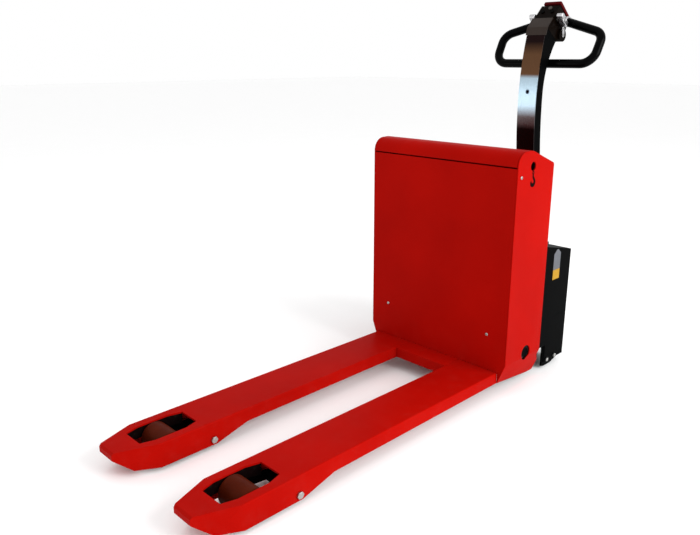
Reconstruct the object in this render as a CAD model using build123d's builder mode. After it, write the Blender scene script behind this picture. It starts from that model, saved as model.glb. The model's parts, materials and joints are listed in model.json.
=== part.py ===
"""Electric pallet truck: fork frame with battery box, lift linkage, drive unit and tiller.

Millimetres, +Z up, floor at Z = 0.  The forks point along -Y and the operator's side is +Y.
The origin is on the floor under the middle of the machine's length and width.
"""
import os
from math import asin, cos, radians, sin, sqrt, tan

from build123d import *

os.makedirs("parts", exist_ok=True)

SIDES = {"left": -1, "right": 1}

# ---- Overall ----
OVERALL_LENGTH = 1855  # fork tips to the back of the tiller head
FORK_LENGTH = 1150  # fork tips to the face of the battery box
PANEL_Y = FORK_LENGTH - OVERALL_LENGTH / 2  # face of the battery box
TIP_Y = PANEL_Y - FORK_LENGTH
RUN_GAP = 0.05  # radial clearance of a shaft that turns or slides in its bore
SEAT_GAP = 0.3  # gap between curved faces that only lie against each other
SIDE_GAP = 1.0  # play beside a part that swings between two others

# ---- Forks ----
FORK_SPREAD = 540  # over the outsides of both forks
FORK_WIDTH = 160
FORK_WALL = 5
FORK_TOP = 85
SKIRT_HEEL_Z = 48  # bottom of the skirt at the box
SKIRT_MID_Z = 43  # bottom of the skirt behind the nose
NOSE_Z = 13  # bottom of the nose, around the load roller
NOSE_REAR = 300  # the nose runs this far back from the tip
NOSE_SLOPE = 110  # length of the slope from nose to skirt
TIP_TAPER = 119  # length over which the tip narrows
TIP_HALF_WIDTH = 35
TIP_UNDER_Z = 63
TIP_CHAMFER = 6
TIP_SOLE_RUN = 51  # the nose's sole steepens this far behind the tip
TIP_SOLE_RISE = 7
FORK_EDGE_R = 4.5
FORK_X = (FORK_SPREAD - FORK_WIDTH) / 2
WELL_WIDTH = 102
WELL_FRONT = 80  # tip to the front of the roller well
WELL_LENGTH = 180
WELL_CORNER_ACROSS = 12
WELL_CORNER_ALONG = 42

# ---- Lift and load rollers ----
LIFT = 120
ROLLER_R = 42
ROLLER_WIDTH = 92
ROLLER_EDGE_R = 4
ROLLER_HUB_R = 24
ROLLER_HUB_LIP = 2  # hub beyond the tyre on each side
ROCKER_GAP = 4  # tyre to rocker plate
AXLE_EYE_R = 15
ROCKER_Y = TIP_Y + 289
ROCKER_Z = 30
ROCKER_LENGTH = 120.6  # pivot to roller axle
ROCKER_PLATE = 6
ROCKER_TUBE_R = 14
ROCKER_BOLT_R = 8
ROLLER_AXLE_R = 8
LUG_LENGTH = 38  # pivot to push-rod pin
LUG_PIN_R = 4.5
LUG_R = 9
LUG_ROOT_R = 13
LUG_PLATE = 6
EYE_WIDTH = 12
EYE_WALL = 6
EYE_TOP_CUT = 1.2  # the eye's wall is this much thinner above the pin
ROD_R = 6
ROD_ROOT = 2  # the rod is set this deep into its eyes
rocker_rest = asin((ROLLER_R - ROCKER_Z) / ROCKER_LENGTH)
rocker_down = asin((LIFT - ROLLER_R + ROCKER_Z) / ROCKER_LENGTH)
ROCKER_SWING = rocker_rest + rocker_down
ROD_TRAVEL = 2 * LUG_LENGTH * sin(ROCKER_SWING / 2)

# ---- Lift shaft and links ----
SHAFT_Y = PANEL_Y + 120
SHAFT_Z = 132
SHAFT_R = 17
BUSH_R = 24
BUSH_LENGTH = 14
LINK_X = 150
LINK_LENGTH = 200
LINK_PLATE = 12
LINK_PIN_R = 8
LINK_EYE_R = 17
LINK_HEIGHT = 28
LINK_TILT = asin(LIFT / 2 / LINK_LENGTH)
LEVER_LENGTH = ROD_TRAVEL / 2 / sin(LINK_TILT)
LEVER_BOSS = 3  # wall of the lever round the shaft
LINK_PIN_Y = SHAFT_Y + LINK_LENGTH * cos(LINK_TILT)
LINK_PIN_Z = SHAFT_Z + LINK_LENGTH * sin(LINK_TILT)
LINK_SLOT_SPARE = 0.6
LINK_SLOT = LINK_LENGTH * (1 - cos(LINK_TILT)) + LINK_SLOT_SPARE
LINK_PLAY = 1.0

# ---- Battery box ----
BOX_WIDTH = 600
BOX_DEPTH = 209
BOX_TOP = 813
LID_EDGE_Z = 769
LID_GAP = 4
LID_REAR_Z = 767
RIDGE_Y = 77
RIDGE_RISE = 3  # the ridge stands this much above the lid's front corner
LID_CORNER_R = 44
RIDGE_R = 60
SHEET = 4
LID_SHEET = 3
LID_HEM = 8  # folded edge inside the front panel and rear wall
BEND_Z = 118
BEND_RUN = 29  # how far the foot of the side plate leans in
BEND_DROP = 72
SIDE_FOOT_FRONT_Z = 48
SIDE_FOOT_REAR_Z = 22
SIDE_FOOT_REACH = 25  # foot of the side plate behind the box
SIDE_FOOT_TOP_Z = 96
SIDE_FOOT_STEP_Z = 66
SIDE_FOOT_CORNER = 10
SIDE_REAR_DROP = 6
LIFT_HOLE_R = 14
LIFT_HOLE_Y = PANEL_Y + 85
LIFT_HOLE_Z = 766
SHAFT_HOLE_R = 25
HEEL_FRONT = 75
HEEL_REAR = 85
HEEL_PLATE = 5
HEEL_INSET = 1  # heel plate inside the forks' outer faces
REAR_WALL_Z = 300
TRAY_THICKNESS = 4
HINGE_PIN_R = 3
HINGE_KNUCKLE_R = 6
HINGE_Y = PANEL_Y + BOX_DEPTH - 11
HINGE_Z = LID_REAR_Z - 10
KNUCKLE_LENGTH = 40
KNUCKLE_DROP = 8  # rear wall's top edge below the hinge
KNUCKLE_WEB = 2  # web of the wall's knuckles in front of the hinge line
LID_KNUCKLE_X = 205
WALL_KNUCKLE_X = 150

# ---- Drive unit ----
COVER_HALF = 265
COVER_WALL = 4
COVER_GAP = 4  # cover behind the foot of the side plates
COVER_FRONT_Y = PANEL_Y + BOX_DEPTH + SIDE_FOOT_REACH + COVER_GAP
COVER_NOTCH_Y = PANEL_Y + 300  # below this height the cover starts further back, at the castors
COVER_NOTCH_Z = 92
COVER_REAR_Y = PANEL_Y + 438
COVER_FRONT_Z = 473
COVER_FALL = 12  # slope of the cover's top, degrees
COVER_FOOT_Z = 26
NOSE_HALF_FRONT = 170
NOSE_HALF_REAR = 105
NOSE_REAR_Y = PANEL_Y + 562
COVER_CORNER_R = 14
STEER_Y = PANEL_Y + 420
DRIVE_R = 115
DRIVE_WIDTH = 75
DRIVE_AXLE_R = 15
HUB_R = 84
DECK_Z = 262
DECK_THICKNESS = 10
BEARING_R = 95
TURNTABLE_R = 80
MOTOR_R = 72
MOTOR_TOP = 415
FRONT_PLATE_Y = PANEL_Y + 286
FRONT_PLATE = 8
FRONT_PLATE_Z = 112
FRAME_HALF = 255
SKIRT_PLATE = 6
CASTOR_X = 188
CASTOR_Y = PANEL_Y + 315
CASTOR_R = 37
CASTOR_WIDTH = 30
CASTOR_TRAIL = 22
CASTOR_TOP = 96
CASTOR_STEM_R = 10
CASTOR_AXLE_R = 6
CASTOR_PLATE = 4
CASTOR_HEAD_R = 26
CASTOR_HEAD = 8
CASTOR_COLLAR_R = 14
CHEEK_TOP_R = 16
CHEEK_AXLE_R = 12
CHEEK_GAP = 2
AXLE_END = 2  # axle beyond the cheeks
WHEEL_EDGE_R = 5
CYLINDER_Y = PANEL_Y + 254
CYLINDER_R = 27
CYLINDER_FOOT_Z = 112
CYLINDER_TOP = 300
PISTON_R = 15
CROSSHEAD_Z = 312
CROSSHEAD_HEIGHT = 16
CROSSHEAD_HALF = 55
CROSSHEAD_LIP = 10
PISTON_FOOT = 20  # foot of the retracted rod above the cylinder's foot
CYLINDER_BASE = 12

# ---- Tiller ----
TILLER_Y = PANEL_Y + 575
TILLER_Z = 508
TILLER_PIN_R = 8
KNUCKLE_R = 22
KNUCKLE_HALF = 29
EAR_THICKNESS = 12
EAR_R = 20
EAR_ROOT = 1
PIVOT_HEAD_R = 13
PIVOT_HEAD = 4
HEAD_ARM_Z = 453
HEAD_ARM_HEIGHT = 22
STEER_NECK_R = 58
ARM_WIDTH = 75
ARM_WALL = 4
ARM_BOTTOM = 545
ARM_BOW_Z = 930  # height where the arm stands closest to the forks
ARM_BOW_Y = PANEL_Y + 502
ARM_LOWER_R = 1460
ARM_UPPER_R = 950
ARM_DEPTH = 46
STRIP = 3
STRIP_TOP = 1167
HEAD_HALF = 38
HEAD_TOP_Y = PANEL_Y + 636
HEAD_TOP_Z = 1289
HEAD_BACK_Y = OVERALL_LENGTH / 2
HEAD_LEAN = 38  # lean of the control head from upright, degrees
HEAD_THICKNESS = (HEAD_BACK_Y - HEAD_TOP_Y) / cos(radians(HEAD_LEAN))
BELLY_CAP = 12
BELLY_TRAVEL = 8
BELLY_GAP = 0.6
BELLY_STEM = 20
BELLY_INSET = 2
BELLY_CORNER_R = 6
THROTTLE_Y = PANEL_Y + 612
THROTTLE_Z = 1222
THROTTLE_R = 6
WING_X = 45
WING_WIDTH = 24
WING_REACH = 20
WING_END_R = 9
WING_HUB_R = 12
BUTTON_R = 7
BUTTON_TRAVEL = 3
BUTTON_RISE = 0.6  # a pressed button still stands this proud
LOOP_TUBE_R = 16
LOOP_Y = PANEL_Y + 586
LOOP_Z = 1068
LOOP_LEAN = 28.4
LOOP_HALF = 203
LOOP_RISE = 175
LOOP_ROOT = 10  # the tube is drawn this far into the head, then cut flush
LOOP_SHOULDER = 118  # height of the loop's upper corners above its grip bar
LOOP_FLARE = 3  # the loop is this much wider at its shoulders than at its grip
LOOP_LOW_BEND = 50
LOOP_TOP_BEND = 44


def save(piece: BuildPart, label: str) -> None:
    """Name a finished piece and write it as parts/LABEL.step."""
    piece.part.label = label
    export_step(piece.part, f"parts/{label}.step")


def cyl_x(radius: float, x_from: float, x_to: float, y: float, z: float, mode: Mode = Mode.ADD) -> None:
    """Add a cylinder along X to the open part."""
    with BuildSketch(Plane.YZ.offset(x_from)) as disc:
        with Locations((y, z)):
            Circle(radius)
    extrude(disc.sketch, amount=x_to - x_from, mode=mode)


def cyl_z(radius: float, x: float, y: float, z_from: float, z_to: float, mode: Mode = Mode.ADD) -> None:
    """Add an upright cylinder to the open part."""
    with BuildSketch(Plane.XY.offset(z_from)) as disc:
        with Locations((x, y)):
            Circle(radius)
    extrude(disc.sketch, amount=z_to - z_from, mode=mode)


def block(x0: float, x1: float, y0: float, y1: float, z0: float, z1: float, mode: Mode = Mode.ADD) -> None:
    """Add a block between two corners to the open part."""
    with Locations(((x0 + x1) / 2, (y0 + y1) / 2, (z0 + z1) / 2)):
        Box(x1 - x0, y1 - y0, z1 - z0, mode=mode)


def plate_x(points: list, x0: float, x1: float, mode: Mode = Mode.ADD) -> None:
    """Add a plate standing across X, cut to an outline of (y, z) points."""
    with BuildSketch(Plane.YZ.offset(x0)) as face:
        with BuildLine():
            Polyline(*points, close=True)
        make_face()
    extrude(face.sketch, amount=x1 - x0, mode=mode)


# ======================= Fork frame: rises with the load =======================
def well_outline(centre: float) -> list:
    """Corner points of the roller well: a long opening that is narrower at both ends."""
    half = WELL_WIDTH / 2
    y_front = TIP_Y + WELL_FRONT
    y_rear = y_front + WELL_LENGTH
    near = half - WELL_CORNER_ACROSS
    right = [
        (near, y_front),
        (half, y_front + WELL_CORNER_ALONG),
        (half, y_rear - WELL_CORNER_ALONG),
        (near, y_rear),
    ]
    return [(centre + x, y) for x, y in right] + [(centre - x, y) for x, y in reversed(right)]


def make_fork(side: str) -> None:
    """Make one fork: a folded channel, open below, with a tapered nose."""
    centre = SIDES[side] * FORK_X
    half = FORK_WIDTH / 2
    nose_y = TIP_Y + NOSE_REAR
    cavity_front = TIP_Y + WELL_FRONT - FORK_WALL
    with BuildPart() as fork:
        outline = [
            (PANEL_Y, FORK_TOP),
            (TIP_Y + TIP_CHAMFER, FORK_TOP),
            (TIP_Y, FORK_TOP - TIP_CHAMFER),
            (TIP_Y, TIP_UNDER_Z),
            (TIP_Y + TIP_SOLE_RUN, NOSE_Z + TIP_SOLE_RISE),
            (TIP_Y + TIP_TAPER, NOSE_Z),
            (nose_y, NOSE_Z),
            (nose_y + NOSE_SLOPE, SKIRT_MID_Z),
            (PANEL_Y, SKIRT_HEEL_Z),
        ]
        plate_x(outline, centre - half, centre + half)
        with BuildSketch(Plane.XY):
            with BuildLine():
                Polyline(
                    (centre - half, PANEL_Y),
                    (centre - half, TIP_Y + TIP_TAPER),
                    (centre - TIP_HALF_WIDTH, TIP_Y),
                    (centre + TIP_HALF_WIDTH, TIP_Y),
                    (centre + half, TIP_Y + TIP_TAPER),
                    (centre + half, PANEL_Y),
                    close=True,
                )
            make_face()
        extrude(amount=FORK_TOP, mode=Mode.INTERSECT)
        long_edges = fork.faces().sort_by(Axis.Z)[-1].edges().filter_by(Axis.Y)
        fillet(long_edges, radius=FORK_EDGE_R)
        inner = half - FORK_WALL
        taper_slope = (half - TIP_HALF_WIDTH) / TIP_TAPER
        front_half = TIP_HALF_WIDTH + taper_slope * (cavity_front - TIP_Y) - FORK_WALL
        with BuildSketch(Plane.XY):
            with BuildLine():
                Polyline(
                    (centre - inner, PANEL_Y),
                    (centre - inner, TIP_Y + TIP_TAPER),
                    (centre - front_half, cavity_front),
                    (centre + front_half, cavity_front),
                    (centre + inner, TIP_Y + TIP_TAPER),
                    (centre + inner, PANEL_Y),
                    close=True,
                )
            make_face()
        extrude(amount=FORK_TOP - FORK_WALL, mode=Mode.SUBTRACT)
        with BuildSketch(Plane.XY.offset(FORK_TOP - FORK_WALL)):
            with BuildLine():
                Polyline(*well_outline(centre), close=True)
            make_face()
        extrude(amount=FORK_WALL, mode=Mode.SUBTRACT)
        cyl_x(ROCKER_BOLT_R, centre - half, centre + half, ROCKER_Y, ROCKER_Z, Mode.SUBTRACT)
    save(fork, f"{side}_fork")


for side_name in SIDES:
    make_fork(side_name)

fork_inner_x = FORK_X - FORK_WIDTH / 2
heel_half = FORK_SPREAD / 2 - HEEL_INSET

# Heel plate: closes the gap between the forks and carries the box on their roots.
with BuildPart() as heel:
    block(-fork_inner_x, fork_inner_x, PANEL_Y - HEEL_FRONT, PANEL_Y, FORK_TOP - HEEL_PLATE, FORK_TOP)
    block(-heel_half, heel_half, PANEL_Y, PANEL_Y + HEEL_REAR, FORK_TOP - HEEL_PLATE, FORK_TOP)
    block(-fork_inner_x, fork_inner_x, PANEL_Y - HEEL_FRONT, PANEL_Y - HEEL_FRONT + SHEET,
          SKIRT_HEEL_Z, FORK_TOP - HEEL_PLATE)
save(heel, "heel_plate")


def lid_outline(inset: float, floor_z: float) -> list:
    """Corner points of the lid's profile, moved inwards by a sheet's thickness."""
    return [
        (PANEL_Y + inset, floor_z),
        (PANEL_Y + inset, BOX_TOP - inset),
        (PANEL_Y + RIDGE_Y, BOX_TOP + RIDGE_RISE - inset),
        (PANEL_Y + BOX_DEPTH - SHEET, LID_REAR_Z - inset),
    ]


def make_side_plate(side: str) -> BuildPart:
    """Make one side of the box: flat above, leaning in towards the fork below."""
    sign = SIDES[side]
    outer = sign * BOX_WIDTH / 2
    inner = sign * (BOX_WIDTH / 2 - SHEET)
    lean = BEND_RUN / BEND_DROP
    foot = sign * lean * BEND_Z
    rear = PANEL_Y + BOX_DEPTH
    with BuildPart() as plate:
        with BuildSketch(Plane.XZ.offset(-PANEL_Y)):
            with BuildLine():
                Polyline(
                    (outer, BOX_TOP + RIDGE_RISE),
                    (outer, BEND_Z),
                    (outer - foot, 0),
                    (inner - foot, 0),
                    (inner, BEND_Z),
                    (inner, BOX_TOP + RIDGE_RISE),
                    close=True,
                )
            make_face()
        extrude(amount=-BOX_DEPTH - SIDE_FOOT_REACH)
        with BuildSketch(Plane.YZ.offset(min(outer, outer - foot) - 1)):
            with BuildLine():
                top = lid_outline(0, SIDE_FOOT_FRONT_Z)
                edge = FilletPolyline(*top, radius=[LID_CORNER_R, RIDGE_R])
                Polyline(
                    edge @ 1,
                    (rear, LID_REAR_Z - SIDE_REAR_DROP),
                    (rear, SIDE_FOOT_TOP_Z),
                    (rear + SIDE_FOOT_REACH, SIDE_FOOT_STEP_Z),
                    (rear + SIDE_FOOT_REACH, SIDE_FOOT_REAR_Z),
                    (rear - SIDE_FOOT_CORNER, SIDE_FOOT_REAR_Z),
                    edge @ 0,
                )
            make_face()
        extrude(amount=abs(foot) + 2, mode=Mode.INTERSECT)
        x_low = min(outer, outer - foot) - 1
        x_high = x_low + abs(foot) + 2
        cyl_x(LIFT_HOLE_R, x_low, x_high, LIFT_HOLE_Y, LIFT_HOLE_Z, Mode.SUBTRACT)
        cyl_x(SHAFT_HOLE_R, x_low, x_high, SHAFT_Y, SHAFT_Z, Mode.SUBTRACT)
    save(plate, f"{side}_side_plate")
    return plate


side_plates = {name: make_side_plate(name) for name in SIDES}
plate_inner = BOX_WIDTH / 2 - SHEET
foot_lean = BEND_RUN / BEND_DROP

# Front panel: stands on the fork roots between the side plates.
with BuildPart() as front_panel:
    low_half = plate_inner - foot_lean * (BEND_Z - FORK_TOP)
    with BuildSketch(Plane.XZ.offset(-PANEL_Y)):
        with BuildLine():
            Polyline(
                (-plate_inner, LID_EDGE_Z - LID_GAP),
                (plate_inner, LID_EDGE_Z - LID_GAP),
                (plate_inner, BEND_Z),
                (low_half, FORK_TOP),
                (-low_half, FORK_TOP),
                (-plate_inner, BEND_Z),
                close=True,
            )
        make_face()
    extrude(amount=-SHEET)
save(front_panel, "front_panel")

SCREW_R = 6
SCREW_HEAD = 3.5
SCREW_X = 221
SCREW_Z = 209
SCREW_DOME_R = 2.1
SIDE_SCREW_R = 5
SIDE_SCREW_HEAD = 2.5
SIDE_SCREW_Y = PANEL_Y + 21
SIDE_SCREW_Z = 737
# Button-head screws: two on the front panel and one on each side plate.
with BuildPart() as box_screws:
    with BuildSketch(Plane.XZ.offset(-PANEL_Y)):
        with Locations((-SCREW_X, SCREW_Z), (SCREW_X, SCREW_Z)):
            Circle(SCREW_R)
    extrude(amount=SCREW_HEAD)
    fillet(box_screws.faces().group_by(Axis.Y)[0].edges(), radius=SCREW_DOME_R)
    for sign in SIDES.values():
        face_x = sign * BOX_WIDTH / 2
        cyl_x(SIDE_SCREW_R, face_x, face_x + sign * SIDE_SCREW_HEAD, SIDE_SCREW_Y, SIDE_SCREW_Z)
save(box_screws, "box_screws")

# Lid: folded sheet that swings up about its rear edge.
lid_half = plate_inner - SIDE_GAP
with BuildPart() as lid:
    with BuildSketch(Plane.YZ.offset(-lid_half)):
        with BuildLine():
            skin = FilletPolyline(*lid_outline(0, LID_EDGE_Z), radius=[LID_CORNER_R, RIDGE_R])
            hem_z = LID_EDGE_Z - LID_HEM
            Polyline(skin @ 1, (PANEL_Y + BOX_DEPTH - SHEET, hem_z), (PANEL_Y + LID_SHEET, hem_z),
                     (PANEL_Y + LID_SHEET, LID_EDGE_Z), skin @ 0)
        make_face()
        with BuildLine():
            under = FilletPolyline(
                *lid_outline(LID_SHEET, LID_EDGE_Z - 2 * LID_HEM),
                radius=[LID_CORNER_R - LID_SHEET, RIDGE_R - LID_SHEET],
            )
            Polyline(under @ 1, (PANEL_Y + BOX_DEPTH - SHEET, LID_EDGE_Z - 2 * LID_HEM), under @ 0)
        make_face(mode=Mode.SUBTRACT)
    extrude(amount=2 * lid_half)
    for sign in SIDES.values():
        x_mid = sign * LID_KNUCKLE_X
        x_a = x_mid - KNUCKLE_LENGTH / 2
        x_b = x_mid + KNUCKLE_LENGTH / 2
        block(x_a, x_b, HINGE_Y - HINGE_KNUCKLE_R, HINGE_Y + HINGE_KNUCKLE_R, HINGE_Z, LID_REAR_Z - 1)
        cyl_x(HINGE_KNUCKLE_R, x_a, x_b, HINGE_Y, HINGE_Z)
        cyl_x(HINGE_PIN_R + RUN_GAP, x_a, x_b, HINGE_Y, HINGE_Z, Mode.SUBTRACT)
save(lid, "lid")

with BuildPart() as hinge_rod:
    cyl_x(HINGE_PIN_R, -plate_inner, plate_inner, HINGE_Y, HINGE_Z)
save(hinge_rod, "lid_hinge_rod")

# Rear wall of the box, with the hinge knuckles and the crosshead that the piston lifts.
wall_y = PANEL_Y + BOX_DEPTH - SHEET
wall_top = HINGE_Z - KNUCKLE_DROP
with BuildPart() as rear_wall:
    block(-plate_inner, plate_inner, wall_y, wall_y + SHEET, REAR_WALL_Z, wall_top)
    for sign in SIDES.values():
        x_a = sign * WALL_KNUCKLE_X - KNUCKLE_LENGTH / 2
        x_b = x_a + KNUCKLE_LENGTH
        block(x_a, x_b, HINGE_Y - KNUCKLE_WEB, wall_y + SHEET, wall_top - KNUCKLE_DROP,
              wall_top + KNUCKLE_DROP / 2)
        cyl_x(HINGE_KNUCKLE_R, x_a, x_b, HINGE_Y, HINGE_Z)
        cyl_x(HINGE_PIN_R, x_a, x_b, HINGE_Y, HINGE_Z, Mode.SUBTRACT)
    block(-CROSSHEAD_HALF, CROSSHEAD_HALF, wall_y + SHEET, CYLINDER_Y + PISTON_R + CROSSHEAD_LIP, CROSSHEAD_Z,
          CROSSHEAD_Z + CROSSHEAD_HEIGHT)
save(rear_wall, "rear_wall")

with BuildPart() as piston_rod:
    cyl_z(PISTON_R, 0, CYLINDER_Y, CYLINDER_FOOT_Z + PISTON_FOOT, CROSSHEAD_Z)
save(piston_rod, "piston_rod")

with BuildPart() as tray:
    block(-plate_inner, plate_inner, PANEL_Y + SHEET, wall_y, REAR_WALL_Z, REAR_WALL_Z + TRAY_THICKNESS)
save(tray, "battery_tray")

BATTERY_WIDTH = 270
BATTERY_DEPTH = 172
BATTERY_HEIGHT = 225
BATTERY_GAP = 5  # middle of the box to each battery
BATTERY_CORNER_R = 6
TERMINAL_R = 9
TERMINAL_INSET = 30
TERMINAL_OFFSET = 60
TERMINAL_HEIGHT = 18
battery_y = PANEL_Y + BOX_DEPTH / 2
battery_z = REAR_WALL_Z + TRAY_THICKNESS
terminal_z = battery_z + BATTERY_HEIGHT
for side_name, sign in SIDES.items():
    with BuildPart() as battery:
        x_mid = sign * (BATTERY_WIDTH / 2 + BATTERY_GAP)
        block(x_mid - BATTERY_WIDTH / 2, x_mid + BATTERY_WIDTH / 2, battery_y - BATTERY_DEPTH / 2,
              battery_y + BATTERY_DEPTH / 2, battery_z, terminal_z)
        fillet(battery.edges().filter_by(Axis.Z), radius=BATTERY_CORNER_R)
        for post in (-1, 1):
            post_x = x_mid + post * (BATTERY_WIDTH / 2 - TERMINAL_INSET)
            cyl_z(TERMINAL_R, post_x, battery_y - TERMINAL_OFFSET, terminal_z, terminal_z + TERMINAL_HEIGHT)
    save(battery, f"{side_name}_battery")

# ======================= Lift linkage =======================
WEDGE_DEPTH = 30
with BuildPart() as bushes:
    for sign in SIDES.values():
        x_out = sign * plate_inner
        x_in = sign * (plate_inner - BUSH_LENGTH)
        cyl_x(BUSH_R, x_in, x_out, SHAFT_Y, SHAFT_Z)
        cyl_x(SHAFT_R + RUN_GAP, x_in, x_out, SHAFT_Y, SHAFT_Z, Mode.SUBTRACT)
    for plate in side_plates.values():
        add(plate.part, mode=Mode.SUBTRACT)
    below_bend = BEND_Z - WEDGE_DEPTH
    for sign in SIDES.values():
        wedge = [
            (sign * (plate_inner + 1), BEND_Z),
            (sign * plate_inner, BEND_Z),
            (sign * (plate_inner - foot_lean * WEDGE_DEPTH), below_bend),
            (sign * (plate_inner + 1), below_bend),
        ]
        with BuildSketch(Plane.XZ.offset(-SHAFT_Y + BUSH_R)):
            with BuildLine():
                Polyline(*wedge, close=True)
            make_face()
        extrude(amount=-2 * BUSH_R, mode=Mode.SUBTRACT)
save(bushes, "shaft_bushes")

lever_inner = EYE_WIDTH / 2 + SIDE_GAP
lever_outer = lever_inner + LUG_PLATE
lever_y = SHAFT_Y + LEVER_LENGTH * sin(LINK_TILT)
lever_z = SHAFT_Z - LEVER_LENGTH * cos(LINK_TILT)


def arm_plate(start: tuple, end: tuple, half_start: float, half_end: float, x0: float, x1: float,
              mode: Mode = Mode.ADD) -> None:
    """Add a flat link across X, or cut a slot: a round end at each centre, joined by straight sides."""
    run = (end[0] - start[0], end[1] - start[1])
    length = sqrt(run[0] ** 2 + run[1] ** 2)
    side = (-run[1] / length, run[0] / length)
    corners = []
    for centre, half, sign in ((start, half_start, 1), (end, half_end, 1), (end, half_end, -1),
                               (start, half_start, -1)):
        corners.append((centre[0] + sign * half * side[0], centre[1] + sign * half * side[1]))
    plate_x(corners, x0, x1, mode)
    cyl_x(half_start, x0, x1, *start, mode)
    cyl_x(half_end, x0, x1, *end, mode)


with BuildPart() as lift_shaft:
    cyl_x(SHAFT_R, -plate_inner + 1, plate_inner - 1, SHAFT_Y, SHAFT_Z)
    slot_back = LINK_LENGTH - LINK_SLOT
    eye_far = (LINK_PIN_Y, LINK_PIN_Z)
    eye_near = (SHAFT_Y + slot_back * cos(LINK_TILT), SHAFT_Z + slot_back * sin(LINK_TILT))
    for sign in SIDES.values():
        x0 = sign * LINK_X - LINK_PLATE / 2
        x1 = x0 + LINK_PLATE
        arm_plate((SHAFT_Y, SHAFT_Z), eye_near, LINK_HEIGHT / 2, LINK_EYE_R, x0, x1)
        arm_plate(eye_near, eye_far, LINK_EYE_R, LINK_EYE_R, x0, x1)
        hole = LINK_PIN_R + LINK_PLAY
        arm_plate(eye_near, eye_far, hole, hole, x0, x1, Mode.SUBTRACT)
        for near, far in ((lever_inner, lever_outer), (-lever_outer, -lever_inner)):
            arm_plate((SHAFT_Y, SHAFT_Z), (lever_y, lever_z), SHAFT_R + LEVER_BOSS, LUG_R,
                      sign * FORK_X + near, sign * FORK_X + far)
        cyl_x(LUG_PIN_R, sign * FORK_X - lever_outer, sign * FORK_X + lever_outer, lever_y, lever_z)
save(lift_shaft, "lift_shaft")

lug_lean = ROCKER_SWING / 2
lug_y = ROCKER_Y + LUG_LENGTH * sin(lug_lean)
lug_z = ROCKER_Z + LUG_LENGTH * cos(lug_lean)
axle_y = ROCKER_Y - ROCKER_LENGTH * cos(rocker_rest)
LUG_RISE = LUG_LENGTH - LUG_LENGTH * cos(lug_lean)
LEVER_RISE = LEVER_LENGTH - LEVER_LENGTH * cos(LINK_TILT)
EYE_PLAY = 0.7


def rod_eye(centre_x: float, y: float, z: float, low: float, high: float) -> None:
    """Add an eye whose upright slot lets the pin rise and fall on its arc."""
    half = LUG_PIN_R + EYE_PLAY + EYE_WALL
    x0 = centre_x - EYE_WIDTH / 2
    block(x0, x0 + EYE_WIDTH, y - half, y + half, z - half - low, z + half - EYE_TOP_CUT + high)
    hole = LUG_PIN_R + EYE_PLAY
    arm_plate((y, z - low), (y, z + high), hole, hole, x0, x0 + EYE_WIDTH, Mode.SUBTRACT)


for side_name, sign in SIDES.items():
    centre = sign * FORK_X
    # Push rod, from the shaft's lever to the rocker's lug.
    with BuildPart() as push_rod:
        eye_half = LUG_PIN_R + EYE_PLAY + EYE_WALL
        start = Vector(centre, lug_y + eye_half - ROD_ROOT, lug_z)
        end = Vector(centre, lever_y - eye_half + ROD_ROOT, lever_z)
        with BuildSketch(Plane(origin=start, z_dir=end - start)):
            Circle(ROD_R)
        extrude(amount=(end - start).length)
        rod_eye(centre, lug_y, lug_z, 0, LUG_RISE)
        rod_eye(centre, lever_y, lever_z, LEVER_RISE, 0)
    save(push_rod, f"{side_name}_push_rod")

    # Rocker arm that swings the load roller down.
    with BuildPart() as rocker:
        plate_in = ROLLER_WIDTH / 2 + ROCKER_GAP
        plate_out = plate_in + ROCKER_PLATE
        cyl_x(ROCKER_TUBE_R, centre - plate_out, centre + plate_out, ROCKER_Y, ROCKER_Z)
        for near, far in ((plate_in, plate_out), (-plate_out, -plate_in)):
            arm_plate((ROCKER_Y, ROCKER_Z), (axle_y, ROLLER_R), ROCKER_TUBE_R, AXLE_EYE_R,
                      centre + near, centre + far)
        for near, far in ((lever_inner, lever_outer), (-lever_outer, -lever_inner)):
            arm_plate((ROCKER_Y, ROCKER_Z), (lug_y, lug_z), LUG_ROOT_R, LUG_R, centre + near, centre + far)
        cyl_x(LUG_PIN_R, centre - lever_outer, centre + lever_outer, lug_y, lug_z)
        cyl_x(ROCKER_BOLT_R + RUN_GAP, centre - plate_out, centre + plate_out, ROCKER_Y, ROCKER_Z,
              Mode.SUBTRACT)
        cyl_x(ROLLER_AXLE_R, centre - plate_out, centre + plate_out, axle_y, ROLLER_R, Mode.SUBTRACT)
    save(rocker, f"{side_name}_rocker_arm")

    with BuildPart() as axle:
        cyl_x(ROLLER_AXLE_R, centre - plate_out, centre + plate_out, axle_y, ROLLER_R)
    save(axle, f"{side_name}_roller_axle")

    # Load roller: steel hub in a polyurethane tyre.
    with BuildPart() as hub:
        hub_half = ROLLER_WIDTH / 2 + ROLLER_HUB_LIP
        cyl_x(ROLLER_HUB_R, centre - hub_half, centre + hub_half, axle_y, ROLLER_R)
        cyl_x(ROLLER_AXLE_R + RUN_GAP, centre - plate_in, centre + plate_in, axle_y, ROLLER_R, Mode.SUBTRACT)
    save(hub, f"{side_name}_roller_hub")
    with BuildPart() as tyre:
        cyl_x(ROLLER_R, centre - ROLLER_WIDTH / 2, centre + ROLLER_WIDTH / 2, axle_y, ROLLER_R)
        rims = tyre.faces().filter_by(Axis.X).edges()
        fillet(rims, radius=ROLLER_EDGE_R)
        cyl_x(ROLLER_HUB_R, centre - ROLLER_WIDTH / 2, centre + ROLLER_WIDTH / 2, axle_y, ROLLER_R,
              Mode.SUBTRACT)
    save(tyre, f"{side_name}_roller_tyre")

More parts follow.
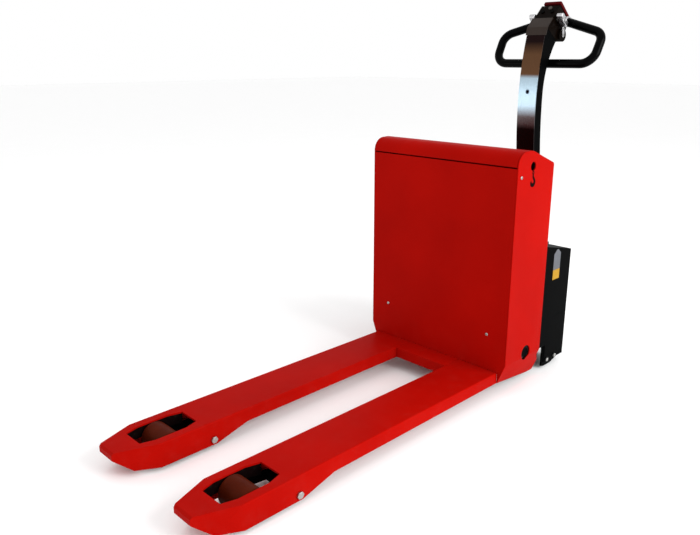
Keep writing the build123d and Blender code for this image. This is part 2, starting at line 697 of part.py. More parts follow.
# Rocker pivot bolts: through both skirts of each fork, heads towards +X.
BOLT_HEAD_R = 11
BOLT_HEAD = 6
with BuildPart() as pivot_bolts:
    for sign in SIDES.values():
        x0 = sign * FORK_X - FORK_WIDTH / 2
        x1 = x0 + FORK_WIDTH
        cyl_x(ROCKER_BOLT_R, x0 - BOLT_HEAD, x1, ROCKER_Y, ROCKER_Z)
        with BuildSketch(Plane.YZ.offset(x1)):
            with Locations((ROCKER_Y, ROCKER_Z)):
                RegularPolygon(BOLT_HEAD_R, 6)
        extrude(amount=BOLT_HEAD)
save(pivot_bolts, "rocker_pivot_bolts")

# ======================= Drive chassis =======================
COVER_TAN = tan(radians(COVER_FALL))


def cover_top(y: float) -> float:
    """Height of the cover's outer top at a distance back."""
    return COVER_FRONT_Z - (y - COVER_FRONT_Y) * COVER_TAN


def drive_plan(inset: float, front_y: float) -> list:
    """Plan outline of the drive unit, moved inwards: straight sides, shoulders and a rear nose."""
    half = COVER_HALF - inset
    shoulder_y = COVER_REAR_Y - inset
    right = [
        (half, front_y),
        (half, shoulder_y),
        (NOSE_HALF_FRONT - inset / 2, shoulder_y),
        (NOSE_HALF_REAR - inset, NOSE_REAR_Y - inset),
    ]
    return right + [(-x, y) for x, y in reversed(right)]


def drive_prism(inset: float, front_y: float, z0: float, z1: float) -> None:
    """Add the drive unit's plan outline as an upright prism."""
    with BuildSketch(Plane.XY.offset(z0)) as plan:
        with BuildLine():
            Polyline(*drive_plan(inset, front_y), close=True)
        make_face()
    extrude(plan.sketch, amount=z1 - z0)


def below_slope(front_y: float, drop: float) -> None:
    """Cut the open part down to the cover's sloping top, lowered by a wall's thickness."""
    rear = NOSE_REAR_Y + 1
    outline = [
        (front_y, COVER_NOTCH_Z),
        (COVER_NOTCH_Y, COVER_NOTCH_Z),
        (COVER_NOTCH_Y, 0),
        (rear, 0),
        (rear, cover_top(rear) - drop),
        (front_y, cover_top(front_y) - drop),
    ]
    plate_x(outline, -COVER_HALF - 1, COVER_HALF + 1, Mode.INTERSECT)


with BuildPart() as cover_core:
    drive_prism(COVER_WALL, COVER_FRONT_Y - 1, 0, COVER_FRONT_Z)
    below_slope(COVER_FRONT_Y - 1, COVER_WALL)

KEY_X = -150
STOP_X = 150
PANEL_CONTROLS_Y = PANEL_Y + 310
BOSS_R = 14
BOSS_RISE = 5
BOSS_DEPTH = 20
NECK_GAP = 7  # steering neck to the cover's hole
KEY_STEM_R = 5
STOP_STEM_R = 6
boss_top = cover_top(PANEL_CONTROLS_Y) + BOSS_RISE
SKIRT_BOLTS = [(PANEL_Y + 326, 33), (PANEL_Y + 378, 35)]
BOLT_SHANK_R = 4
SKIRT_HEAD_R = 7
SKIRT_HEAD = 5
with BuildPart() as cover:
    drive_prism(0, COVER_FRONT_Y, COVER_FOOT_Z, COVER_FRONT_Z)
    below_slope(COVER_FRONT_Y, 0)
    upright = cover.edges().filter_by(Axis.Z).group_by(Axis.Y)[1]
    fillet(upright, radius=COVER_CORNER_R)
    add(cover_core.part, mode=Mode.SUBTRACT)
    for boss_x in (KEY_X, STOP_X):
        cyl_z(BOSS_R, boss_x, PANEL_CONTROLS_Y, boss_top - BOSS_DEPTH, boss_top)
    cyl_z(KEY_STEM_R + RUN_GAP, KEY_X, PANEL_CONTROLS_Y, boss_top - BOSS_DEPTH, boss_top, Mode.SUBTRACT)
    cyl_z(STOP_STEM_R + RUN_GAP, STOP_X, PANEL_CONTROLS_Y, boss_top - BOSS_DEPTH, boss_top, Mode.SUBTRACT)
    cyl_z(STEER_NECK_R + NECK_GAP, 0, STEER_Y, COVER_FOOT_Z, COVER_FRONT_Z, Mode.SUBTRACT)
    for bolt_y, bolt_z in SKIRT_BOLTS:
        cyl_x(BOLT_SHANK_R, -COVER_HALF, COVER_HALF, bolt_y, bolt_z, Mode.SUBTRACT)
save(cover, "drive_cover")

# Side skirt of the chassis: distance behind the panel and height of each corner.
SKIRT_OUTLINE = [(300, 130), (300, 12), (318, 8), (360, 9), (406, 22), (406, 130)]
FOOT_HALF = 40  # cylinder's foot plate
FOOT_LIP = 4
FRAME_GAP = 6  # rear edge of the frame to the inside of the cover
SLOT_GAP = 6  # link to the sides of its slot in the front plate
SLOT_HEIGHT = 68
LUG_GAP = 1
LINK_LUG = 6
LINK_LUG_R = 17
SLOT_HALF = LINK_PLATE / 2 + SLOT_GAP
CASTOR_MOUNT = 12
CASTOR_MOUNT_HALF = 48
CASTOR_MOUNT_REAR = 100
mount_z = FRONT_PLATE_Z - CASTOR_MOUNT
pin_half = LINK_PLATE / 2 + LUG_GAP + LINK_LUG
frame_rear = COVER_REAR_Y - COVER_WALL - FRAME_GAP
deck_inset = COVER_HALF - FRAME_HALF
with BuildPart() as chassis:
    drive_prism(deck_inset, FRONT_PLATE_Y, DECK_Z, DECK_Z + DECK_THICKNESS)
    cyl_z(BEARING_R, 0, STEER_Y, DECK_Z, DECK_Z + DECK_THICKNESS, Mode.SUBTRACT)
    block(-FRAME_HALF, FRAME_HALF, FRONT_PLATE_Y, FRONT_PLATE_Y + FRONT_PLATE, FRONT_PLATE_Z, DECK_Z)
    block(-FOOT_HALF, FOOT_HALF, CYLINDER_Y - CYLINDER_R - FOOT_LIP, FRONT_PLATE_Y + FRONT_PLATE, mount_z,
          FRONT_PLATE_Z)
    skirt = [(PANEL_Y + back, height) for back, height in SKIRT_OUTLINE]
    for sign in SIDES.values():
        x_in = sign * (FRAME_HALF - SKIRT_PLATE)
        x_out = sign * FRAME_HALF
        block(min(x_in, x_out), max(x_in, x_out), FRONT_PLATE_Y, frame_rear, FRONT_PLATE_Z, DECK_Z)
        plate_x(skirt, x_out, sign * (COVER_HALF - COVER_WALL))
        mount_in = sign * (CASTOR_X - CASTOR_MOUNT_HALF)
        block(min(mount_in, x_out), max(mount_in, x_out), CASTOR_Y - CASTOR_MOUNT_HALF,
              CASTOR_Y + CASTOR_MOUNT_REAR, mount_z, FRONT_PLATE_Z)
        cyl_z(CASTOR_STEM_R + RUN_GAP, sign * CASTOR_X, CASTOR_Y, mount_z, FRONT_PLATE_Z, Mode.SUBTRACT)
        slot_x = sign * LINK_X
        block(slot_x - SLOT_HALF, slot_x + SLOT_HALF, FRONT_PLATE_Y, FRONT_PLATE_Y + FRONT_PLATE,
              LINK_PIN_Z - SLOT_HEIGHT / 2, LINK_PIN_Z + SLOT_HEIGHT / 2, Mode.SUBTRACT)
        for near, far in ((LINK_PLATE / 2 + LUG_GAP, LINK_PLATE / 2 + LUG_GAP + LINK_LUG),
                          (-LINK_PLATE / 2 - LUG_GAP - LINK_LUG, -LINK_PLATE / 2 - LUG_GAP)):
            arm_plate((LINK_PIN_Y, LINK_PIN_Z), (LINK_PIN_Y, DECK_Z - LINK_LUG_R), LINK_LUG_R, LINK_LUG_R,
                      slot_x + near, slot_x + far)
        cyl_x(LINK_PIN_R, slot_x - pin_half, slot_x + pin_half, LINK_PIN_Y, LINK_PIN_Z, Mode.SUBTRACT)
        for bolt_y, bolt_z in SKIRT_BOLTS:
            cyl_x(BOLT_SHANK_R, x_out, sign * COVER_HALF, bolt_y, bolt_z, Mode.SUBTRACT)
save(chassis, "chassis_frame")

with BuildPart() as link_pins:
    for sign in SIDES.values():
        cyl_x(LINK_PIN_R, sign * LINK_X - pin_half, sign * LINK_X + pin_half, LINK_PIN_Y, LINK_PIN_Z)
save(link_pins, "link_pins")

with BuildPart() as skirt_bolts:
    for sign in SIDES.values():
        for bolt_y, bolt_z in SKIRT_BOLTS:
            head_x = sign * COVER_HALF
            cyl_x(BOLT_SHANK_R, sign * FRAME_HALF, head_x, bolt_y, bolt_z)
            cyl_x(SKIRT_HEAD_R, head_x, head_x + sign * SKIRT_HEAD, bolt_y, bolt_z)
save(skirt_bolts, "skirt_bolts")

RING_RISE = 4  # bearing ring above the deck
ring_top = DECK_Z + DECK_THICKNESS + RING_RISE
with BuildPart() as bearing:
    cyl_z(BEARING_R, 0, STEER_Y, DECK_Z, ring_top)
    cyl_z(TURNTABLE_R + RUN_GAP, 0, STEER_Y, DECK_Z, ring_top, Mode.SUBTRACT)
save(bearing, "steering_bearing")

with BuildPart() as cylinder:
    cyl_z(CYLINDER_R, 0, CYLINDER_Y, CYLINDER_FOOT_Z, CYLINDER_TOP)
    cyl_z(PISTON_R + RUN_GAP, 0, CYLINDER_Y, CYLINDER_FOOT_Z + CYLINDER_BASE, CYLINDER_TOP, Mode.SUBTRACT)
save(cylinder, "lift_cylinder")

deck_top = DECK_Z + DECK_THICKNESS
UNIT_TOP = 402
PUMP_R = 42
PUMP_X = 195
PUMP_Y = PANEL_Y + 352
TANK_X = (98, PUMP_X - PUMP_R - 5)
TANK_Y = (PANEL_Y + 298, PANEL_Y + 342)
with BuildPart() as hydraulic_unit:
    cyl_z(PUMP_R, PUMP_X, PUMP_Y, deck_top, UNIT_TOP)
    block(*TANK_X, *TANK_Y, deck_top, UNIT_TOP)
save(hydraulic_unit, "hydraulic_unit")

CONTROLLER_X = (-245, -112)
CONTROLLER_Y = (PANEL_Y + 300, PANEL_Y + 424)
CONTROLLER_BODY = 28
FIN_COUNT = 9
FIN_PITCH = 15
FIN_THICKNESS = 4
FIN_HEIGHT = 20
body_top = deck_top + CONTROLLER_BODY
with BuildPart() as controller:
    block(*CONTROLLER_X, *CONTROLLER_Y, deck_top, body_top)
    for fin in range(FIN_COUNT):
        fin_x = CONTROLLER_X[0] + FIN_THICKNESS + fin * FIN_PITCH
        block(fin_x, fin_x + FIN_THICKNESS, *CONTROLLER_Y, body_top, body_top + FIN_HEIGHT)
save(controller, "motor_controller")

castor_axle_y = CASTOR_Y + CASTOR_TRAIL
for side_name, sign in SIDES.items():
    centre = sign * CASTOR_X
    cheek_in = CASTOR_WIDTH / 2 + CHEEK_GAP
    cheek_out = cheek_in + CASTOR_PLATE
    with BuildPart() as castor_fork:
        cyl_z(CASTOR_HEAD_R, centre, CASTOR_Y, CASTOR_TOP - CASTOR_HEAD, CASTOR_TOP)
        cyl_z(CASTOR_STEM_R, centre, CASTOR_Y, CASTOR_TOP, FRONT_PLATE_Z)
        cyl_z(CASTOR_COLLAR_R, centre, CASTOR_Y, CASTOR_TOP, mount_z - SEAT_GAP)
        for near, far in ((cheek_in, cheek_out), (-cheek_out, -cheek_in)):
            arm_plate((CASTOR_Y, CASTOR_TOP - CHEEK_TOP_R - 1), (castor_axle_y, CASTOR_R),
                      CHEEK_TOP_R, CHEEK_AXLE_R, centre + near, centre + far)
        axle_half = cheek_out + AXLE_END
        cyl_x(CASTOR_AXLE_R, centre - axle_half, centre + axle_half, castor_axle_y, CASTOR_R)
    save(castor_fork, f"{side_name}_castor_fork")
    with BuildPart() as castor_wheel:
        cyl_x(CASTOR_R, centre - CASTOR_WIDTH / 2, centre + CASTOR_WIDTH / 2, castor_axle_y, CASTOR_R)
        fillet(castor_wheel.faces().filter_by(Axis.X).edges(), radius=WHEEL_EDGE_R)
        cyl_x(CASTOR_AXLE_R + RUN_GAP, centre - cheek_in, centre + cheek_in, castor_axle_y, CASTOR_R,
              Mode.SUBTRACT)
    save(castor_wheel, f"{side_name}_castor_wheel")

KEY_DEPTH = 16
KEY_NECK = 3
KEY_TOP = 24
KEY_HALF = 11
KEY_THICKNESS = 4
with BuildPart() as key:
    cyl_z(KEY_STEM_R, KEY_X, PANEL_CONTROLS_Y, boss_top - KEY_DEPTH, boss_top + KEY_NECK)
    block(KEY_X - KEY_THICKNESS / 2, KEY_X + KEY_THICKNESS / 2, PANEL_CONTROLS_Y - KEY_HALF,
          PANEL_CONTROLS_Y + KEY_HALF, boss_top + KEY_NECK, boss_top + KEY_TOP)
    fillet(key.edges().filter_by(Axis.X), radius=KEY_THICKNESS)
save(key, "key")

KNOB_R = 18
KNOB_SEAT = 2
KNOB_TOP = 18
KNOB_EDGE_R = 6
STOP_DEPTH = 18
with BuildPart() as stop_knob:
    cyl_z(STOP_STEM_R, STOP_X, PANEL_CONTROLS_Y, boss_top - STOP_DEPTH, boss_top + KNOB_SEAT)
    cyl_z(KNOB_R, STOP_X, PANEL_CONTROLS_Y, boss_top + KNOB_SEAT, boss_top + KNOB_TOP)
    fillet(stop_knob.faces().sort_by(Axis.Z)[-1].edges(), radius=KNOB_EDGE_R)
save(stop_knob, "stop_knob")

# ======================= Steered drive unit =======================
TURNTABLE_DROP = 20
LEG_GAP = 7  # tyre to the gearbox leg
LEG_THICKNESS = 40
LEG_TOP_R = 40
LEG_LOW_R = 46
LEG_ROOT = 20
turntable_z = DECK_Z - TURNTABLE_DROP
leg_in = DRIVE_WIDTH / 2 + LEG_GAP
leg_out = leg_in + LEG_THICKNESS
with BuildPart() as gearbox:
    cyl_z(TURNTABLE_R, 0, STEER_Y, turntable_z, ring_top)
    arm_plate((STEER_Y, turntable_z - LEG_ROOT), (STEER_Y, DRIVE_R), LEG_TOP_R, LEG_LOW_R, leg_in, leg_out)
    block(leg_in, leg_in + LEG_ROOT, STEER_Y - LEG_TOP_R, STEER_Y + LEG_TOP_R, turntable_z - LEG_ROOT,
          turntable_z)
    cyl_x(DRIVE_AXLE_R + RUN_GAP, leg_in, leg_out, STEER_Y, DRIVE_R, Mode.SUBTRACT)
save(gearbox, "gearbox")

with BuildPart() as motor:
    cyl_z(MOTOR_R, 0, STEER_Y, ring_top, MOTOR_TOP)
    fillet(motor.faces().sort_by(Axis.Z)[-1].edges(), radius=WHEEL_EDGE_R)
save(motor, "drive_motor")

ear_in = KNUCKLE_HALF + SIDE_GAP
ear_out = ear_in + EAR_THICKNESS
arm_top_z = HEAD_ARM_Z + HEAD_ARM_HEIGHT
with BuildPart() as steering_head:
    cyl_z(STEER_NECK_R, 0, STEER_Y, MOTOR_TOP, arm_top_z)
    block(-ear_out, ear_out, STEER_Y, TILLER_Y + EAR_R, HEAD_ARM_Z, arm_top_z)
    for near, far in ((ear_in, ear_out), (-ear_out, -ear_in)):
        arm_plate((TILLER_Y, TILLER_Z), (TILLER_Y, arm_top_z - EAR_ROOT), EAR_R, EAR_R, near, far)
    block(-ear_out, ear_out, TILLER_Y - EAR_R, TILLER_Y + EAR_R, HEAD_ARM_Z - EAR_R - EAR_ROOT, HEAD_ARM_Z,
          Mode.SUBTRACT)
    cyl_x(TILLER_PIN_R, -ear_out, ear_out, TILLER_Y, TILLER_Z, Mode.SUBTRACT)
save(steering_head, "steering_head")

with BuildPart() as pivot_pin:
    cyl_x(TILLER_PIN_R, -ear_out, ear_out, TILLER_Y, TILLER_Z)
    for sign in SIDES.values():
        cyl_x(PIVOT_HEAD_R, sign * ear_out, sign * (ear_out + PIVOT_HEAD), TILLER_Y, TILLER_Z)
save(pivot_pin, "tiller_pivot_pin")

HUB_HALF = 34
with BuildPart() as wheel_hub:
    cyl_x(HUB_R, -HUB_HALF, HUB_HALF, STEER_Y, DRIVE_R)
    cyl_x(DRIVE_AXLE_R, HUB_HALF, leg_out, STEER_Y, DRIVE_R)
save(wheel_hub, "drive_wheel_hub")
with BuildPart() as wheel_tyre:
    cyl_x(DRIVE_R, -DRIVE_WIDTH / 2, DRIVE_WIDTH / 2, STEER_Y, DRIVE_R)
    fillet(wheel_tyre.faces().filter_by(Axis.X).edges(), radius=WHEEL_EDGE_R)
    cyl_x(HUB_R, -DRIVE_WIDTH / 2, DRIVE_WIDTH / 2, STEER_Y, DRIVE_R, Mode.SUBTRACT)
save(wheel_tyre, "drive_wheel_tyre")

# ======================= Tiller =======================
ARM_TOP = 1195
ARM_HEEL_Y = PANEL_Y + 614
ARM_HEEL_Z = 1149
CAVITY_TOP = 950
ARM_LOW_MID_Z = 750
ARM_WAIST_Z = 958  # above this height the arm grows towards its heel
ARM_FLARE = (PANEL_Y + 565, 1060)  # point on the back, between waist and heel
ARM_WAIST_CUT = 1  # the back stands this much nearer at the waist
SADDLE_HALF = 16
SADDLE_DEPTH = 20
SADDLE_HEIGHT = 16
KNUCKLE_CUT = 3


def arm_front(z: float) -> float:
    """Y of the arm's front curve: two arcs that meet where the arm stands closest to the forks."""
    radius = ARM_LOWER_R if z < ARM_BOW_Z else ARM_UPPER_R
    return ARM_BOW_Y + radius - sqrt(radius**2 - (z - ARM_BOW_Z) ** 2)


def curve_point(z: float, depth: float) -> tuple:
    """Point at a height, a depth behind the arm's front curve."""
    return (arm_front(z) + depth, z)


def front_arcs(depth: float, z_low: float, z_high: float) -> None:
    """Draw the arm's front curve in the open line, a depth back, between two heights."""
    z_mid_low = (z_low + ARM_BOW_Z) / 2
    z_mid_high = (z_high + ARM_BOW_Z) / 2
    ThreePointArc(curve_point(z_low, depth), curve_point(z_mid_low, depth), curve_point(ARM_BOW_Z, depth))
    ThreePointArc(curve_point(ARM_BOW_Z, depth), curve_point(z_mid_high, depth), curve_point(z_high, depth))


saddle_y = LOOP_Y - LOOP_TUBE_R - SEAT_GAP
with BuildPart() as arm:
    with BuildSketch(Plane.YZ.offset(-ARM_WIDTH / 2)):
        with BuildLine():
            front_arcs(STRIP, ARM_BOTTOM, ARM_TOP)
            lower_back = ThreePointArc(curve_point(ARM_BOTTOM, ARM_DEPTH),
                                       curve_point(ARM_LOW_MID_Z, ARM_DEPTH),
                                       (ARM_BOW_Y + ARM_DEPTH - ARM_WAIST_CUT, ARM_WAIST_Z))
            ThreePointArc(lower_back @ 1, ARM_FLARE, (ARM_HEEL_Y, ARM_HEEL_Z))
            Line((ARM_HEEL_Y, ARM_HEEL_Z), curve_point(ARM_TOP, STRIP))
            Line(curve_point(ARM_BOTTOM, STRIP), curve_point(ARM_BOTTOM, ARM_DEPTH))
        make_face()
    extrude(amount=ARM_WIDTH)
    with BuildSketch(Plane.YZ.offset(ARM_WALL - ARM_WIDTH / 2)):
        with BuildLine():
            cavity_bottom = ARM_BOTTOM + 3 * ARM_WALL
            front_arcs(STRIP, cavity_bottom, CAVITY_TOP)
            cavity_back = ThreePointArc(curve_point(cavity_bottom, ARM_DEPTH - ARM_WALL),
                                        curve_point(ARM_LOW_MID_Z, ARM_DEPTH - ARM_WALL),
                                        curve_point(CAVITY_TOP, ARM_DEPTH - ARM_WALL - ARM_WAIST_CUT))
            Line(cavity_back @ 1, curve_point(CAVITY_TOP, STRIP))
            Line(cavity_back @ 0, curve_point(cavity_bottom, STRIP))
        make_face()
    extrude(amount=ARM_WIDTH - 2 * ARM_WALL, mode=Mode.SUBTRACT)
    neck_half = KNUCKLE_R - KNUCKLE_CUT
    block(-KNUCKLE_HALF, KNUCKLE_HALF, TILLER_Y - neck_half, TILLER_Y + neck_half, TILLER_Z, ARM_BOTTOM + 1)
    cyl_x(KNUCKLE_R, -KNUCKLE_HALF, KNUCKLE_HALF, TILLER_Y, TILLER_Z)
    cyl_x(TILLER_PIN_R + RUN_GAP, -KNUCKLE_HALF, KNUCKLE_HALF, TILLER_Y, TILLER_Z, Mode.SUBTRACT)
    block(-SADDLE_HALF, SADDLE_HALF, saddle_y - SADDLE_DEPTH, saddle_y, LOOP_Z - SADDLE_HEIGHT / 2,
          LOOP_Z + SADDLE_HEIGHT / 2)
save(arm, "tiller_arm")

STRIP_SCREW_R = 5
STRIP_SCREW_HEAD = 1.5
STRIP_SCREW_DEPTH = 4
STRIP_SCREW_ZS = (620, 968)
STRIP_BOTTOM = ARM_BOTTOM + ARM_WALL
with BuildPart() as strip:
    with BuildSketch(Plane.YZ.offset(-ARM_WIDTH / 2)):
        with BuildLine():
            front_arcs(0, STRIP_BOTTOM, STRIP_TOP)
            front_arcs(STRIP, STRIP_BOTTOM, STRIP_TOP)
            for end_z in (STRIP_BOTTOM, STRIP_TOP):
                Line(curve_point(end_z, 0), curve_point(end_z, STRIP))
        make_face()
    extrude(amount=ARM_WIDTH)
    for screw_z in STRIP_SCREW_ZS:
        with BuildSketch(Plane.XZ.offset(-arm_front(screw_z) + STRIP)):
            with Locations((0, screw_z)):
                Circle(STRIP_SCREW_R)
        extrude(amount=-3 * STRIP, mode=Mode.SUBTRACT)
save(strip, "tiller_strip")

with BuildPart() as strip_screws:
    for screw_z in STRIP_SCREW_ZS:
        with BuildSketch(Plane.XZ.offset(-arm_front(screw_z) + STRIP_SCREW_HEAD)):
            with Locations((0, screw_z)):
                Circle(STRIP_SCREW_R)
        extrude(amount=-STRIP_SCREW_DEPTH)
save(strip_screws, "strip_screws")

# Control head: its end face looks back and up along the lean of the head.
lean = radians(HEAD_LEAN)
axis_dir = (0, sin(lean), cos(lean))
setback = BELLY_CAP + BELLY_TRAVEL + BELLY_GAP
head_front = (HEAD_TOP_Y - setback * sin(lean), HEAD_TOP_Z - setback * cos(lean))
head_rear = (head_front[0] + HEAD_THICKNESS * cos(lean), head_front[1] - HEAD_THICKNESS * sin(lean))
arm_corner = curve_point(ARM_TOP, STRIP)
end_plane = Plane(
    origin=(0, (head_front[0] + head_rear[0]) / 2, (head_front[1] + head_rear[1]) / 2),
    x_dir=(1, 0, 0),
    z_dir=axis_dir,
)
face_run = (head_front[0] - arm_corner[0], head_front[1] - arm_corner[1])
face_length = sqrt(face_run[0] ** 2 + face_run[1] ** 2)
face_dir = (face_run[0] / face_length, face_run[1] / face_length)
BULGE_R = 23
BULGE_HALF = 47
BULGE_CENTRE = (PANEL_Y + 642, 1169)
HEAD_CORNER = (PANEL_Y + 664, 1170)  # lower rear corner of the housing
BUTTON_DEPTH = 9
button_spots = {
    "lift_button": (20, 80),
    "lower_button": (-18, 80),
    "horn_button": (4, 99),
}


def button_plane(x: float, along: float) -> Plane:
    """Plane on the head's front face, facing out, at a place across and along it."""
    y = arm_corner[0] + face_dir[0] * along
    z = arm_corner[1] + face_dir[1] * along
    return Plane(origin=(x, y, z), x_dir=(1, 0, 0), z_dir=(0, -face_dir[1], face_dir[0]))


BELLY_STEM_R = 9
with BuildPart() as head:
    plate_x(
        [arm_corner, (ARM_HEEL_Y, ARM_HEEL_Z), HEAD_CORNER, head_rear, head_front],
        -HEAD_HALF,
        HEAD_HALF,
    )
    cyl_x(BULGE_R, -BULGE_HALF, BULGE_HALF, *BULGE_CENTRE)
    with BuildSketch(end_plane):
        Circle(BELLY_STEM_R + RUN_GAP)
    extrude(amount=-BELLY_STEM - BELLY_TRAVEL - SIDE_GAP, mode=Mode.SUBTRACT)
    for spot in button_spots.values():
        with BuildSketch(button_plane(*spot)):
            Circle(BUTTON_R + RUN_GAP)
        extrude(amount=-BUTTON_DEPTH - BUTTON_TRAVEL - SIDE_GAP, mode=Mode.SUBTRACT)
    cyl_x(THROTTLE_R + RUN_GAP, -BULGE_HALF, BULGE_HALF, THROTTLE_Y, THROTTLE_Z, Mode.SUBTRACT)
save(head, "head_housing")

BRACKET_Z = 1168
BRACKET = 4
BRACKET_LIFT = 1  # the bracket's fold above the arm's corner
BRACKET_REACH = 44
BRACKET_HALF = 42
bracket_top = (arm_corner[0] + face_dir[0] * BRACKET_REACH, arm_corner[1] + face_dir[1] * BRACKET_REACH)
with BuildPart() as bracket:
    plate_x(
        [
            curve_point(BRACKET_Z, STRIP),
            arm_corner,
            bracket_top,
            (bracket_top[0] - face_dir[1] * BRACKET, bracket_top[1] + face_dir[0] * BRACKET),
            (arm_corner[0] - BRACKET, arm_corner[1] + BRACKET_LIFT),
            (arm_front(BRACKET_Z) + STRIP - BRACKET, BRACKET_Z),
        ],
        -BRACKET_HALF,
        BRACKET_HALF,
    )
    add(arm.part, mode=Mode.SUBTRACT)
    add(head.part, mode=Mode.SUBTRACT)
save(bracket, "head_bracket")

# Loop handle: one bent tube round both sides of the head, behind the arm.
loop_lean = radians(LOOP_LEAN)
loop_plane = Plane(
    origin=(0, LOOP_Y, LOOP_Z),
    x_dir=(1, 0, 0),
    z_dir=(0, -cos(loop_lean), sin(loop_lean)),
)
with BuildPart() as loop:
    with BuildLine(loop_plane) as loop_path:
        right_corners = [
            (LOOP_HALF, 0),
            (LOOP_HALF + LOOP_FLARE, LOOP_SHOULDER),
            (HEAD_HALF - LOOP_ROOT, LOOP_RISE),
        ]
        left_corners = [(-x, w) for x, w in reversed(right_corners)]
        bends = [LOOP_TOP_BEND, LOOP_LOW_BEND, LOOP_LOW_BEND, LOOP_TOP_BEND]
        FilletPolyline(*left_corners, *right_corners, radius=bends)
    with BuildSketch(Plane(origin=loop_path.line @ 0, z_dir=loop_path.line % 0)):
        Circle(LOOP_TUBE_R)
    sweep()
    root = loop_plane.from_local_coords((0, LOOP_RISE, 0))
    reach = 2 * LOOP_TUBE_R
    block(-HEAD_HALF, HEAD_HALF, root.Y - reach, root.Y + reach, root.Z - reach, root.Z + reach,
          Mode.SUBTRACT)
save(loop, "loop_handle")

with BuildPart() as belly:
    with BuildSketch(end_plane.offset(BELLY_TRAVEL + BELLY_GAP)):
        RectangleRounded(2 * (HEAD_HALF - BELLY_INSET), HEAD_THICKNESS, BELLY_CORNER_R)
    extrude(amount=BELLY_CAP)
    with BuildSketch(end_plane.offset(-BELLY_STEM)):
        Circle(BELLY_STEM_R)
    extrude(amount=BELLY_STEM + BELLY_TRAVEL + BELLY_GAP)
save(belly, "belly_button")

for button_name, spot in button_spots.items():
    with BuildPart() as button:
        with BuildSketch(button_plane(*spot).offset(-BUTTON_DEPTH)):
            Circle(BUTTON_R)
        extrude(amount=BUTTON_DEPTH + BUTTON_TRAVEL + BUTTON_RISE)
    save(button, button_name)

wing_out = WING_X + WING_WIDTH
with BuildPart() as throttle_shaft:
    cyl_x(THROTTLE_R, -wing_out, wing_out, THROTTLE_Y, THROTTLE_Z)
save(throttle_shaft, "throttle_shaft")

WING_LEAN = radians(42)
wing_dy = WING_REACH * cos(WING_LEAN)
wing_dz = WING_REACH * sin(WING_LEAN)
with BuildPart() as wings:
    for sign in SIDES.values():
        x_a = min(sign * WING_X, sign * wing_out)
        x_b = x_a + WING_WIDTH
        arm_plate((THROTTLE_Y - wing_dy, THROTTLE_Z + wing_dz), (THROTTLE_Y + wing_dy, THROTTLE_Z - wing_dz),
                  WING_END_R, WING_END_R, x_a, x_b)
        cyl_x(WING_HUB_R, x_a, x_b, THROTTLE_Y, THROTTLE_Z)
        cyl_x(THROTTLE_R, x_a, x_b, THROTTLE_Y, THROTTLE_Z, Mode.SUBTRACT)
save(wings, "throttle_wings")
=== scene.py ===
"""Looks of the electric pallet truck: finishes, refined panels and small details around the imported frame."""

import json
import logging
import math
from dataclasses import dataclass
from enum import Enum

import bmesh
import bpy
from mathutils import Matrix, Vector


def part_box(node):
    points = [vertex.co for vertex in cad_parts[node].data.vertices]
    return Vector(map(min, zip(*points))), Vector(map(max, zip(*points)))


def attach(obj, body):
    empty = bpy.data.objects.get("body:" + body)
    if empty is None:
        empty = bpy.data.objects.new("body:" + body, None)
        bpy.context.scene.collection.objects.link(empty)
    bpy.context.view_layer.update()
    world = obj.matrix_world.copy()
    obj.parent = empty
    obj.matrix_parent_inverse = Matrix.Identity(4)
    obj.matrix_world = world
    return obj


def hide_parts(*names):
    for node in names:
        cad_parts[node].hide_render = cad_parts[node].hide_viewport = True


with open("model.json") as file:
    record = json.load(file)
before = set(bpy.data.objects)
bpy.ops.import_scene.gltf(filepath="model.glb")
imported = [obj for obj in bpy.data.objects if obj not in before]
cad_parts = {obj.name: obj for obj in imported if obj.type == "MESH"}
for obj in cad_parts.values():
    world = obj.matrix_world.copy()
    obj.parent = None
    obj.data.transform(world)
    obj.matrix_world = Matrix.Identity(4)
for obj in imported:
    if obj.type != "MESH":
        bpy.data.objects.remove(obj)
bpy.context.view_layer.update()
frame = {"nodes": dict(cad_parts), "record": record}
BODY_OF = {node: body for body, nodes in frame["record"]["behaviour"]["bodies"].items() for node in nodes}
SLOT_OF = {entry["node"]: entry["material_slot"] for entry in frame["record"]["subparts"]}
SIDES = {"left": -1, "right": 1}
MM = 0.001
UP = (0.0, 0.0, 1.0)
LOG = logging.getLogger("pallet_truck")

Point = tuple[float, float, float]
Flat = tuple[float, float]


# ---------------------------------------------------------------- shaders
class Number:
    """A shader socket that adds Math nodes when it is used in an expression."""

    def __init__(self, shader: "Shader", socket: bpy.types.NodeSocket) -> None:
        """Wrap a socket.

        Args:
            shader: the shader that the socket belongs to.
            socket: the output socket that carries the number.
        """
        self.shader = shader
        self.socket = socket

    def math(self, operation: str, *others: "Number | float", swap: bool = False) -> "Number":
        """Join this number to others with one Math node.

        Args:
            operation: the Math node's operation.
            others: the other operands.
            swap: whether this number is the second operand.

        Returns:
            The node's result.
        """
        terms = [self, *others]
        if swap:
            terms.reverse()
        node = self.shader.node("ShaderNodeMath", {"operation": operation}, dict(enumerate(terms)))
        return Number(self.shader, node.outputs[0])

    def __add__(self, other: "Number | float") -> "Number":
        """Add."""
        return self.math("ADD", other)

    __radd__ = __add__

    def __sub__(self, other: "Number | float") -> "Number":
        """Subtract."""
        return self.math("SUBTRACT", other)

    def __rsub__(self, other: float) -> "Number":
        """Subtract from a plain number."""
        return self.math("SUBTRACT", other, swap=True)

    def __mul__(self, other: "Number | float") -> "Number":
        """Multiply."""
        return self.math("MULTIPLY", other)

    __rmul__ = __mul__

    def clamp(self) -> "Number":
        """Limit to 0..1."""
        return self.math("MINIMUM", 1.0).math("MAXIMUM", 0.0)


